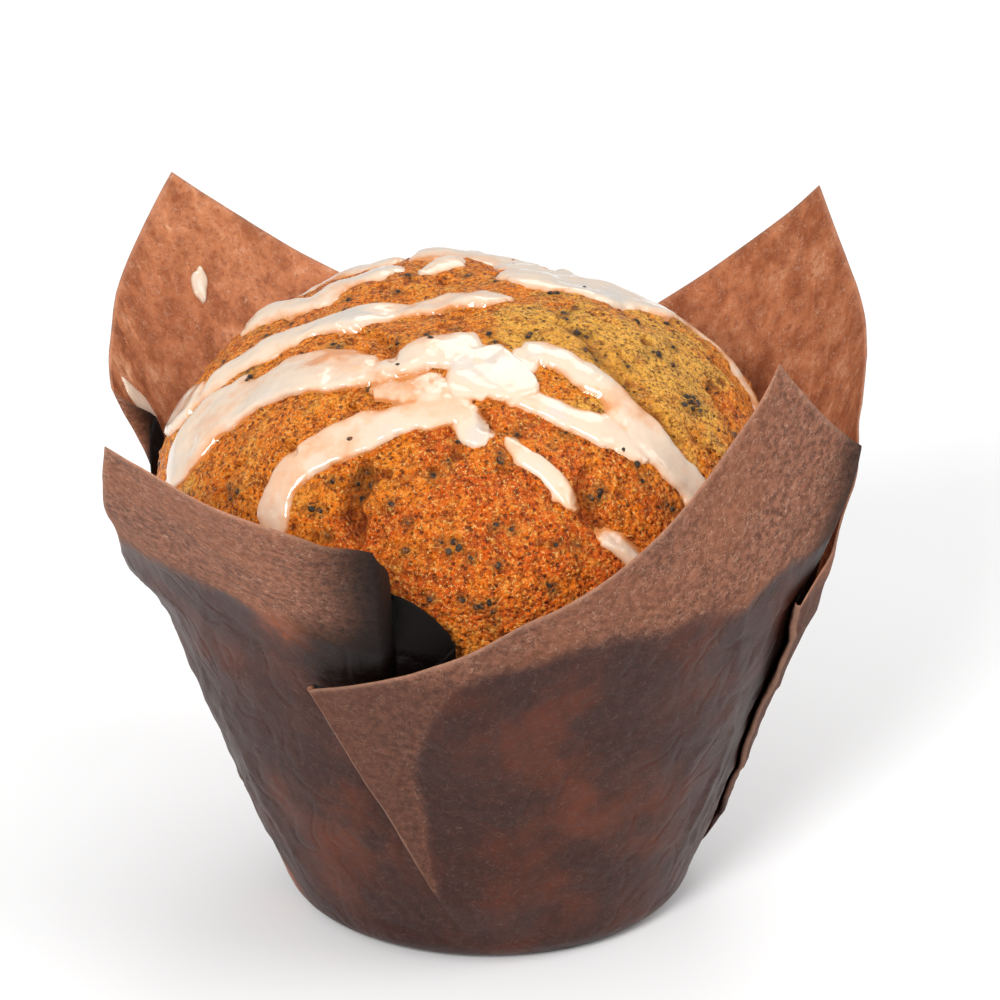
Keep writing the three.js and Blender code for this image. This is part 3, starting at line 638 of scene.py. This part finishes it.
def along_path(points, path, values, reach):
    """For points near a path: their numbers, distance to it, the vector from it and its values there."""
    middle = path.mean(0)
    spread = norm(path - middle, axis=1).max() + reach
    near = np.flatnonzero(norm(points - middle, axis=-1) < spread)
    p = points[near]
    best = np.full(len(near), 99.0)
    away = np.zeros((len(near), 3))
    found = np.zeros((len(near), values.shape[1]))
    share = np.zeros(len(near))
    for i in range(len(path) - 1):
        ab = path[i + 1] - path[i]
        t = np.clip((p - path[i]) @ ab / (ab @ ab), 0, 1)
        gap = p - path[i] - t[:, None] * ab
        dist = norm(gap, axis=1)
        closer = dist < best
        best[closer] = dist[closer]
        away[closer] = gap[closer]
        here = values[i] + (values[i + 1] - values[i]) * t[:, None]
        found[closer] = here[closer]
        share[closer] = ((i + t) / (len(path) - 1))[closer]
    return near, best, away, found, share


def cracks(points):
    """Depth of the cracks at points of the bare dome, with ragged sides."""
    flat = points.reshape(-1, 3)
    rough = 0.55 * noise(flat, 1.5, 3) + 0.35 * noise(flat, 0.8, 4)
    depth = np.zeros(len(flat))
    for line in CRACKS.values():
        path, values = smooth_path(line)
        near, gap, _, found, share = along_path(flat, path, values, 4)
        width = found[:, 0] * (0.55 + 0.45 * np.sqrt(np.clip(4 * share * (1 - share), 0, 1)))
        inner = np.clip(gap / width + 0.5 * rough[near], 0, 3)
        depth[near] = np.maximum(depth[near], found[:, 1] * np.exp(-inner ** 2.2))
    return depth.reshape(points.shape[:-1])


def glaze_height(d, points):
    """Height of the glaze over the crust in mm, negative beside the lines."""
    flat = points.reshape(-1, 3)
    normal = d.reshape(-1, 3)
    edge = 0.5 * noise(flat, 4.2, 71) + 0.28 * noise(flat, 1.9, 72) + 0.12 * noise(flat, 1.0, 73)
    flow = 0.5 * noise(flat, 7.5, 75) + 0.3 * noise(flat, 3.4, 76)
    down = np.array([0, 0, -1.0]) + normal[:, 2:3] * normal
    down /= norm(down, axis=1, keepdims=True) + 1e-6
    k = 0.16
    total = np.full(len(flat), exp(-2.5 / k))
    for line in GLAZE_LINES.values():
        path, values = smooth_path(line)
        near, gap, away, found, share = along_path(flat, path, values, 8)
        width = found[:, 0] * np.minimum(1, 2.2 * np.sqrt(np.minimum(share, 1 - share)) + 0.45)
        depth = width - gap + edge[near] * np.clip(width / 2.4, 0.5, 1.3)
        lower = np.clip((away * down[near]).sum(1) / width, -1, 1)
        rim = np.clip(depth / np.minimum(width, 1.7 - 0.9 * lower), 0, 1)
        body = (0.34 + 0.13 * np.minimum(width, 3.2)) * (1 + 0.42 * lower + 0.5 * flow[near])
        height = np.where(depth > 0, np.maximum(body, 0.22) * np.sqrt(rim * (2 - rim)), depth * 0.8)
        total[near] += np.exp(np.clip(height, -2.5, 3) / k)
    return (k * np.log(total)).reshape(points.shape[:-1])


def spots(d, places):
    """Sum of soft round spots: azimuth, elevation, spread in degrees, amount."""
    total = np.zeros(d.shape[:-1])
    for azimuth, elevation, spread, amount in places:
        gap = np.arccos(np.clip(d @ place_on_dome(azimuth, elevation), -1, 1))
        total += amount * np.exp(-(gap / radians(spread)) ** 2)
    return total


def crust_points(d, elevation):
    """Crust surface in mm from the middle of the dome, with the parts of its relief."""
    base = d * dome_reach(d)[..., None]
    fade = smooth(0, radians(16), elevation)
    low = dough(d) * fade
    crack = cracks(base) * fade
    clods = 0.26 * fbm(base, 5.2, 35, 2) + 0.16 * fbm(base, 2.3, 37, 2)
    grains = 0.34 * (0.5 - cells(base, 1.25, 50)) + 0.1 * noise(base, 0.75, 31)
    pits = smooth(0.4, 0.12, cells(base, 2.9, 60)) * smooth(-0.15, 0.35, noise(base, 6, 51))
    crumb = grains - 0.55 * pits
    return base, low, crack, clods, crumb, pits


def build_cake(material, seeds):
    n = 294
    d, elevation = square_to_dome(n)
    base, low, crack, clods, crumb, pits = crust_points(d, elevation)
    centre = np.array([CAKE_X, 0, DOME_LEVEL])
    height = glaze_height(d, base)
    covered = smooth(-0.3, 0.3, height)
    relief = low - crack + clods * (1 - 0.5 * covered) + crumb * (1 - 0.7 * covered)
    dome = base + d * relief[..., None] + centre
    index, net = net_quads(n)
    loop = np.concatenate([index[:-1, 0], index[-1, :-1], index[:0:-1, -1], index[0, :0:-1]])
    brim = dome.reshape(-1, 3)[loop]
    azimuth = np.arctan2(brim[:, 1], brim[:, 0] - CAKE_X)
    sideways = np.stack([np.cos(azimuth), np.sin(azimuth), 0 * azimuth], -1)
    floor = CAD_PAPER + 0.4
    wall_foot = CAD_PAPER / 2 + BASE_FILLET * (1 - sin(WALL_TILT))

    def wall_ring(z):
        radius = WALL_START - 0.9 / cos(WALL_TILT) + (z - wall_foot) * tan(WALL_TILT)
        return sideways * radius + np.array([WALL_DRIFT * z, 0, z])

    rings = []
    shoulder = wall_ring(SHOULDER)
    for share in (0.25, 0.5, 0.75):
        ring = brim + (shoulder - brim) * share
        ring = ring + sideways * (0.5 * arch(share) + 0.3 * fbm(ring, 4, 61, 3))[:, None]
        rings.append(ring)
    for z in (SHOULDER, 26, 14, 5):
        ring = wall_ring(z)
        rings.append(ring + sideways * (0.2 * fbm(ring, 4, 61, 3))[:, None])
    rings.append(sideways * 20.1 + np.array([0, 0, floor]))
    verts = [dome.reshape(-1, 3)]
    previous = loop
    quads = [net.reshape(-1, 4)]
    start = index.size
    count = len(loop)
    for ring in rings:
        current = start + np.arange(count)
        quads.append(np.stack([previous, current, np.roll(current, -1), np.roll(previous, -1)], -1))
        verts.append(ring)
        previous = current
        start += count
    verts.append([[0, 0, floor]])
    tris = np.stack([previous, np.full(count, start), np.roll(previous, -1)], -1)
    verts = np.concatenate(verts)
    extra = len(verts) - index.size

    halo = np.zeros(d.shape[:-1])
    for seed in seeds:
        gap = ((base - seed * dome_reach(seed)) ** 2).sum(-1)
        halo = np.maximum(halo, np.exp(-gap / 1.5))
    toast = 0.42 + spots(d, TOAST) + 0.16 * fbm(base, 9, 90, 2)
    ochre = spots(d, OCHRE) * (0.75 + 0.5 * noise(base, 3, 92))

    def padded(data, value=0.0):
        return np.concatenate([data.ravel(), np.full(extra, value)])

    values = {
        # crack, crumb and pit also darken the crust colour as painted shade
        "crack": padded(smooth(0.3, 1.3, crack)),
        "crumb": padded(crumb + 0.4 * clods),
        "pit": padded(pits),
        "halo": padded(halo),
        "toast": padded(toast, 0.35),
        "ochre": padded(ochre),
    }
    return mesh_object("cake", verts, np.concatenate(quads), tris, material, values)


def build_glaze(material):
    n = 430
    d, elevation = square_to_dome(n)
    base, low, crack, clods, crumb, pits = crust_points(d, elevation)
    height = glaze_height(d, base)
    keep = (height > -0.5) & (elevation > radians(1.5))
    ground = low - crack * 0.6 + clods * 0.5 + crumb * 0.12
    sheen = 0.04 * noise(base, 2.4, 81) * (height > 0)
    centre = np.array([CAKE_X, 0, DOME_LEVEL])
    top = base + d * (ground + height + sheen)[..., None] + centre
    under = base + d * (ground - 1.0)[..., None] + centre
    cell = keep[:-1, :-1] & keep[1:, :-1] & keep[1:, 1:] & keep[:-1, 1:]
    index, net = net_quads(n)
    quads = net[cell]
    used = np.unique(quads)
    number = np.full(index.size, -1)
    number[used] = np.arange(len(used))
    quads = number[quads]
    total = len(used)
    verts = np.concatenate([top.reshape(-1, 3)[used], under.reshape(-1, 3)[used]])
    edges = np.concatenate([quads[:, [0, 1]], quads[:, [1, 2]], quads[:, [2, 3]], quads[:, [3, 0]]])
    key = edges[:, 0] * total + edges[:, 1]
    back = edges[:, 1] * total + edges[:, 0]
    border = edges[~np.isin(key, back)]
    wall = np.stack([border[:, 1], border[:, 0], border[:, 0] + total, border[:, 1] + total], -1)
    faces = np.concatenate([quads, quads[:, ::-1] + total, wall])
    thick = height + spots(d, GLAZE_BODY) - 0.3 * crumb
    thick = thick.ravel()[used]
    return mesh_object("glaze", verts, faces, [], material, {"thick": np.concatenate([thick, thick])})


def seed_places():
    """Directions of the seeds: those that show in front, then singles and small clusters all round."""
    places = [(radians(a), radians(e)) for a, e in FRONT_SEEDS]
    for _ in range(70):
        places.append((rng.uniform(0, 2 * pi), asin(rng.uniform(0.03, 0.98))))

    def cluster(azimuth, elevation, count, reach):
        for _ in range(count):
            spread = rng.normal(0, reach, 2)
            places.append((azimuth + spread[0] / max(0.3, cos(elevation)), elevation + spread[1]))

    for _ in range(22):
        azimuth = rng.uniform(-0.35 * pi, 1.1 * pi)
        elevation = asin(rng.uniform(0.1, 0.95))
        cluster(azimuth, elevation, rng.integers(2, 6), 0.022)
    for azimuth, elevation in FRONT_SEEDS[::3]:
        cluster(radians(azimuth), radians(elevation), rng.integers(0, 3), 0.026)
    return np.array(places)


def seed_shape(lat, lon):
    """Unit ball as quads with a triangle fan at either end."""
    unit = [(0, 0, 1)]
    for i in range(1, lat):
        t = pi * i / lat
        for j in range(lon):
            s = 2 * pi * j / lon
            unit.append((sin(t) * cos(s), sin(t) * sin(s), cos(t)))
    unit.append((0, 0, -1))
    tris = []
    for j in range(lon):
        k = (j + 1) % lon
        tris.append((0, 1 + j, 1 + k))
        tris.append((len(unit) - 1, 1 + (lat - 2) * lon + k, 1 + (lat - 2) * lon + j))
    return np.array(unit), ring_quads(lat - 1, lon, 1)[:, ::-1], np.array(tris)


def build_seeds(material, places):
    """Small kidney-shaped seeds half sunk in the crust."""
    unit, quads, tris = seed_shape(8, 12)
    d = direction(places[:, 0], places[:, 1])
    base, low, crack, clods, crumb, pits = crust_points(d, places[:, 1])
    height = glaze_height(d, base)
    verts = []
    tint = []
    for i in range(len(places)):
        buried = height[i] > 0.2
        if buried and rng.uniform() < 0.8:
            continue
        size = rng.uniform(0.31, 0.43)
        shape = unit * np.array([1.2, 0.95, 0.85]) * size
        shape[:, 1] += 0.25 * size * (unit[:, 0] ** 2)
        shape *= 1 + 0.05 * np.sin(7 * unit[:, :1] + 5 * unit[:, 2:])
        spin = rng.uniform(0, 2 * pi)
        tip = rng.normal(0, 0.35)
        c, s = cos(spin), sin(spin)
        turn = np.array([[c, -s, 0], [s, c, 0], [0, 0, 1]])
        c, s = cos(tip), sin(tip)
        turn = np.array([[1, 0, 0], [0, c, -s], [0, s, c]]) @ turn
        x = np.cross([0.3, 0.2, 0.9], d[i])
        x /= norm(x)
        y = np.cross(d[i], x)
        facing = np.stack([x, y, d[i]], 1)
        lift = low[i] - crack[i] + clods[i] + crumb[i] + rng.uniform(-0.3, -0.04)
        if buried:
            lift += height[i] * 0.7
        at = base[i] + d[i] * lift + [CAKE_X, 0, DOME_LEVEL]
        verts.append((facing @ turn @ shape.T).T + at)
        tint.append(rng.uniform())
    values = {"tint": np.repeat(tint, len(unit))}
    first = len(unit) * np.arange(len(tint))[:, None, None]
    return mesh_object("poppy_seeds", np.concatenate(verts), quads + first, tris + first, material, values)


# Materials

class Nodes:
    def __init__(self, name):
        self.material = bpy.data.materials.new(name)
        self.material.use_nodes = True
        self.tree = self.material.node_tree
        self.shader = self.tree.nodes["Principled BSDF"]

    def put(self, socket, value):
        if isinstance(value, bpy.types.NodeSocket):
            self.tree.links.new(value, socket)
        else:
            socket.default_value = value

    def set(self, name, value):
        self.put(self.shader.inputs[name], value)

    def add(self, kind, output, inputs, **settings):
        """One output of a new node, with its settings and inputs made."""
        node = self.tree.nodes.new(kind)
        for key, value in settings.items():
            setattr(node, key, value)
        for key, value in inputs.items():
            self.put(node.inputs[key], value)
        return node.outputs[output]

    def attribute(self, name):
        return self.add("ShaderNodeAttribute", "Fac", {}, attribute_name=name)

    def coords(self):
        return self.add("ShaderNodeTexCoord", "Object", {})

    def stretch(self, vector, scale):
        return self.add("ShaderNodeMapping", "Vector", {"Vector": vector, "Scale": scale})

    def noise(self, vector, scale, detail=3.0, roughness=0.55, distortion=0.0):
        look = {"Scale": scale, "Detail": detail, "Roughness": roughness, "Distortion": distortion}
        return self.add("ShaderNodeTexNoise", "Fac", {"Vector": vector, **look})

    def threads(self, vector, scale, width):
        """Thin curling lines, 1 on the line."""
        away = self.math("ABSOLUTE", self.math("SUBTRACT", self.noise(vector, scale, 1, 0.5, 0.6), 0.5))
        return self.ramp(away, width, 0)

    def voronoi(self, vector, scale):
        return self.add("ShaderNodeTexVoronoi", "Distance", {"Vector": vector, "Scale": scale})

    def ramp(self, value, low, high, out_low=0.0, out_high=1.0):
        inputs = {"Value": value, "From Min": low, "From Max": high, "To Min": out_low, "To Max": out_high}
        return self.add("ShaderNodeMapRange", "Result", inputs, interpolation_type="SMOOTHSTEP")

    def math(self, kind, a, b=0.0):
        return self.add("ShaderNodeMath", 0, {0: a, 1: b}, operation=kind)

    def mix(self, amount, a, b):
        return self.add("ShaderNodeMix", "Result", {"Factor": amount, "A": a, "B": b}, data_type="RGBA")

    def over(self, colour, value, low, high, most, tint):
        """A tint laid over a colour as a value runs from low to high."""
        return self.mix(self.ramp(value, low, high, 0, most), colour, rgb(*tint))

    def share(self, colour, value, most, tint):
        """A tint laid over a colour in proportion to a value."""
        return self.mix(self.math("MULTIPLY", value, most), colour, rgb(*tint))

    def bump(self, height, strength, distance):
        inputs = {"Height": height, "Strength": strength, "Distance": distance}
        return self.add("ShaderNodeBump", "Normal", inputs)


def rgb(r, g, b):
    """Linear colour from screen values out of 255."""
    def line(c):
        c /= 255
        return c / 12.92 if c <= 0.04045 else ((c + 0.055) / 1.055) ** 2.4
    return (line(r), line(g), line(b), 1.0)


def crust_material():
    n = Nodes("baked_crust")
    at = n.coords()
    patch = n.noise(at, 230, 4, 0.6)
    middle = n.noise(at, 560, 4, 0.65)
    grain = n.noise(at, 1300, 4, 0.75)
    crumb_cell = n.voronoi(at, 1500)
    speck = n.noise(at, 3000, 3, 0.7)
    dents = n.ramp(n.voronoi(at, 1150), 0.3, 0.16)
    pore = n.math("MULTIPLY", dents, n.ramp(n.noise(at, 420, 2), 0.46, 0.56))
    toast = n.math("ADD", n.attribute("toast"), n.ramp(patch, 0.35, 0.65, -0.2, 0.2))
    colour = n.mix(n.ramp(toast, 0.0, 0.45), rgb(255, 188, 76), rgb(252, 134, 16))
    for value, low, high, most, tint in (
        (toast, 0.45, 1.0, 1, (226, 94, 8)),
        (n.attribute("ochre"), 0.1, 0.9, 1, (255, 180, 62)),
        (middle, 0.48, 0.37, 0.55, (150, 68, 14)),
        (middle, 0.54, 0.66, 0.4, (255, 170, 66)),
        # the next four rows follow the bump: grain tops lighter, partly tone and partly painted light, and
        # painted shade in the gaps between grains and in fine crevices
        (grain, 0.52, 0.62, 0.6, (255, 170, 64)),
        (crumb_cell, 0.56, 0.78, 0.5, (138, 60, 14)),
        (grain, 0.45, 0.37, 0.9, (108, 44, 8)),
        (speck, 0.43, 0.35, 0.85, (96, 38, 8)),
        # painted glints of light on the speck tops
        (speck, 0.57, 0.64, 0.85, (255, 206, 120)),
        (n.attribute("ochre"), 0.2, 1, 0.45, (255, 182, 76)),
    ):
        colour = n.over(colour, value, low, high, most, tint)
    # painted shade: the crust is darker in the dents, in low crumb, in pits and in cracks
    colour = n.share(colour, pore, 0.75, (84, 28, 6))
    colour = n.over(colour, n.attribute("crumb"), -0.08, -0.45, 0.5, (150, 60, 12))
    colour = n.over(colour, n.attribute("pit"), 0.3, 1.0, 0.45, (96, 36, 8))
    colour = n.share(colour, n.attribute("crack"), 0.62, (130, 54, 10))
    colour = n.over(colour, n.attribute("halo"), 0.2, 1.0, 0.45, (104, 80, 34))
    n.set("Base Color", colour)
    glint = n.ramp(n.noise(at, 1900, 2), 0.52, 0.6)
    n.set("Roughness", n.ramp(glint, 0, 1, 0.62, 0.1))
    n.set("Specular IOR Level", 0.3)
    height = n.math("SUBTRACT", n.math("MULTIPLY", grain, 1.4), n.math("MULTIPLY", crumb_cell, 1.1))
    height = n.math("ADD", height, n.math("MULTIPLY", speck, 0.5))
    height = n.math("SUBTRACT", height, n.math("MULTIPLY", pore, 0.8))
    n.set("Normal", n.bump(height, 0.9, 0.0009))
    n.set("Subsurface Weight", 0.05)
    n.set("Subsurface Radius", (0.0018, 0.0009, 0.0004))
    n.set("Subsurface Scale", 0.4)
    return n.material


def glaze_material():
    n = Nodes("sugar_glaze")
    at = n.coords()
    cloud = n.noise(at, 150, 4, 0.6)
    soft = n.noise(at, 420, 3)
    thick = n.math("ADD", n.attribute("thick"), n.ramp(cloud, 0.35, 0.65, -0.3, 0.2))
    thick = n.math("ADD", thick, n.ramp(soft, 0.35, 0.65, -0.1, 0.1))
    colour = n.mix(n.ramp(thick, -0.1, 0.3), rgb(208, 134, 72), rgb(222, 180, 146))
    colour = n.over(colour, thick, 0.25, 0.65, 1, (222, 199, 175))
    colour = n.over(colour, thick, 0.75, 1.25, 1, (210, 196, 182))
    n.set("Base Color", colour)
    n.set("Roughness", n.ramp(n.noise(at, 500, 2), 0.3, 0.7, 0.12, 0.24))
    n.set("Subsurface Weight", 0.25)
    n.set("Subsurface Radius", (0.0014, 0.001, 0.0007))
    n.set("Subsurface Scale", 0.6)
    n.set("Coat Weight", 0.7)
    n.set("Coat Roughness", 0.04)
    n.set("Normal", n.bump(n.noise(at, 700, 3), 0.25, 0.0004))
    return n.material


def seed_material():
    n = Nodes("poppy_seed")
    at = n.coords()
    colour = n.mix(n.attribute("tint"), rgb(24, 20, 18), rgb(66, 56, 46))
    colour = n.over(colour, n.noise(at, 3000, 2), 0.45, 0.65, 0.6, (66, 56, 44))
    colour = n.over(colour, n.noise(at, 1500, 3), 0.5, 0.6, 0.6, (150, 88, 38))
    n.set("Base Color", colour)
    n.set("Roughness", 0.36)
    n.set("Specular IOR Level", 0.3)
    n.set("Normal", n.bump(n.voronoi(at, 4600), 0.9, 0.0002))
    return n.material


def paper_material():
    n = Nodes("greased_paper")
    at = n.coords()
    grease = n.attribute("grease")
    fibre = n.noise(at, 1150, 4, 0.75)
    hair = n.math("MAXIMUM", n.threads(at, 900, 0.022), n.threads(at, 1500, 0.03))
    hair = n.math("MULTIPLY", hair, n.ramp(n.noise(at, 800, 3, 0.7), 0.4, 0.6))
    cloud = n.noise(at, 70, 3, 0.5)
    stain = n.noise(at, 85, 5, 0.62)
    dry = n.mix(n.ramp(fibre, 0.34, 0.66), rgb(88, 55, 42), rgb(142, 93, 72))
    dry = n.over(dry, cloud, 0.4, 0.65, 0.35, (142, 87, 58))
    dry = n.share(dry, hair, 0.42, (208, 166, 140))
    # painted shade where other layers and the cake lie behind the dry paper
    dry = n.share(dry, n.attribute("lap_shade"), 0.7, (62, 38, 32))
    wet = n.mix(n.ramp(stain, 0.42, 0.8), rgb(48, 27, 22), rgb(92, 43, 26))
    wet = n.over(wet, fibre, 0.42, 0.6, 0.5, (66, 38, 32))
    wet = n.share(wet, hair, 0.14, (150, 116, 104))
    outer = n.mix(grease, dry, wet)
    glow = n.math("MULTIPLY", n.attribute("glow"), n.ramp(stain, 0.42, 0.62, 0.15, 1))
    outer = n.mix(glow, outer, rgb(176, 92, 48))
    mottle = n.noise(n.stretch(at, (1, 1, 0.7)), 260, 5, 0.65)
    back = n.mix(n.ramp(mottle, 0.34, 0.6), rgb(144, 80, 48), rgb(190, 120, 80))
    back = n.over(back, mottle, 0.56, 0.74, 0.7, (228, 174, 138))
    back = n.over(back, n.noise(at, 50, 2), 0.45, 0.7, 0.35, (152, 86, 54))
    back = n.over(back, fibre, 0.5, 0.36, 0.5, (128, 66, 40))
    # painted shade: the inside of the back right petal darker towards the right
    right = n.add("ShaderNodeSeparateXYZ", "X", {"Vector": at})
    back = n.over(back, right, 0.02, 0.045, 0.35, (120, 62, 36))
    back = n.share(back, hair, 0.2, (250, 214, 186))
    colour = n.mix(n.attribute("inside"), outer, back)
    # lighter top rim, and a painted highlight along the pleat folds
    colour = n.share(colour, n.attribute("edge"), 0.3, (196, 152, 128))
    # painted shade: near black in the pleats and on the rolled-in edges
    colour = n.mix(n.attribute("pocket_shade"), colour, rgb(8, 3, 2))
    n.set("Base Color", colour)
    n.set("Roughness", n.ramp(grease, 0, 1, 0.75, 0.42))
    n.set("Specular IOR Level", 0.16)
    height = n.math("ADD", fibre, n.math("MULTIPLY", hair, 0.5))
    fold = n.math("SUBTRACT", 1.0, n.threads(n.stretch(at, (1, 1, 0.7)), 170, 0.1))
    fold = n.math("ADD", fold, n.math("MULTIPLY", n.noise(at, 240, 3), 1.5))
    height = n.math("ADD", n.math("MULTIPLY", height, 0.35), n.math("MULTIPLY", fold, 0.5))
    n.set("Normal", n.bump(height, 0.42, 0.0006))
    return n.material


def floor_material():
    n = Nodes("pale_floor")
    cloud = n.ramp(n.noise(n.coords(), 3, 2), 0.3, 0.7)
    n.set("Base Color", n.mix(cloud, (0.95, 0.95, 0.95, 1), (0.97, 0.97, 0.97, 1)))
    n.set("Roughness", 0.8)
    return n.material


# Build

crust = crust_material()
white = glaze_material()
places = seed_places()
cake = build_cake(crust, direction(places[:, 0], places[:, 1]))
glaze = build_glaze(white)
seeds = build_seeds(seed_material(), places)
paper, paper_grid, paper_normal = build_paper(paper_material())
drips = build_paper_drips(white, paper_grid, paper_normal)
for piece in (cake, glaze, seeds, paper, drips):
    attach(piece, "root")
for piece in (cake, glaze, seeds):
    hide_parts("muffin")
for piece in (paper, drips):
    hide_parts("paper_case")

# Stage

size = 3
floor_mesh = bpy.data.meshes.new("floor")
corners = [(-size, -size, 0), (size, -size, 0), (size, size, 0), (-size, size, 0)]
floor_mesh.from_pydata(corners, [], [(0, 1, 2, 3)])
floor_mesh.materials.append(floor_material())
floor = bpy.data.objects.new("floor", floor_mesh)
scene.collection.objects.link(floor)

scene.view_settings.view_transform = "Standard"
scene.view_settings.look = "None"

world = bpy.data.worlds.new("studio")
scene.world = world
world.use_nodes = True
background = world.node_tree.nodes["Background"].inputs
background["Color"].default_value = (1, 1, 1, 1)
background["Strength"].default_value = 0.63


def area_light(name, place, target, width, power):
    data = bpy.data.lights.new(name, "AREA")
    data.shape = "SQUARE"
    data.size = width
    data.energy = power
    light = bpy.data.objects.new(name, data)
    light.location = place
    light.rotation_euler = (Vector(target) - Vector(place)).to_track_quat("-Z", "Y").to_euler()
    scene.collection.objects.link(light)


area_light("key", (-0.25, -0.72, 0.48), (0, 0, 0.05), 0.24, 5.8)
area_light("fill", (0.7, -0.25, 0.65), (0, 0, 0.05), 0.6, 2.6)
area_light("back", (0.1, 0.55, 0.8), (0, 0, 0.06), 0.5, 2.0)

elevation = radians(23)
distance = 0.7
pixels_per_mm = 8.407
back = Vector((0, -cos(elevation), sin(elevation)))
up = Vector((0, sin(elevation), cos(elevation)))
middle = Vector((0, 0, 0.042))
place = middle + back * distance
aim = middle + up * 0.00689 + Vector((0.00149, 0, 0))
camera_data = bpy.data.cameras.new("camera")
camera_data.sensor_width = 36
camera_data.lens = 36 * pixels_per_mm * distance
camera = bpy.data.objects.new("camera", camera_data)
camera.location = place
camera.rotation_euler = (aim - place).to_track_quat("-Z", "Y").to_euler()
scene.collection.objects.link(camera)
bpy.context.scene.camera = camera
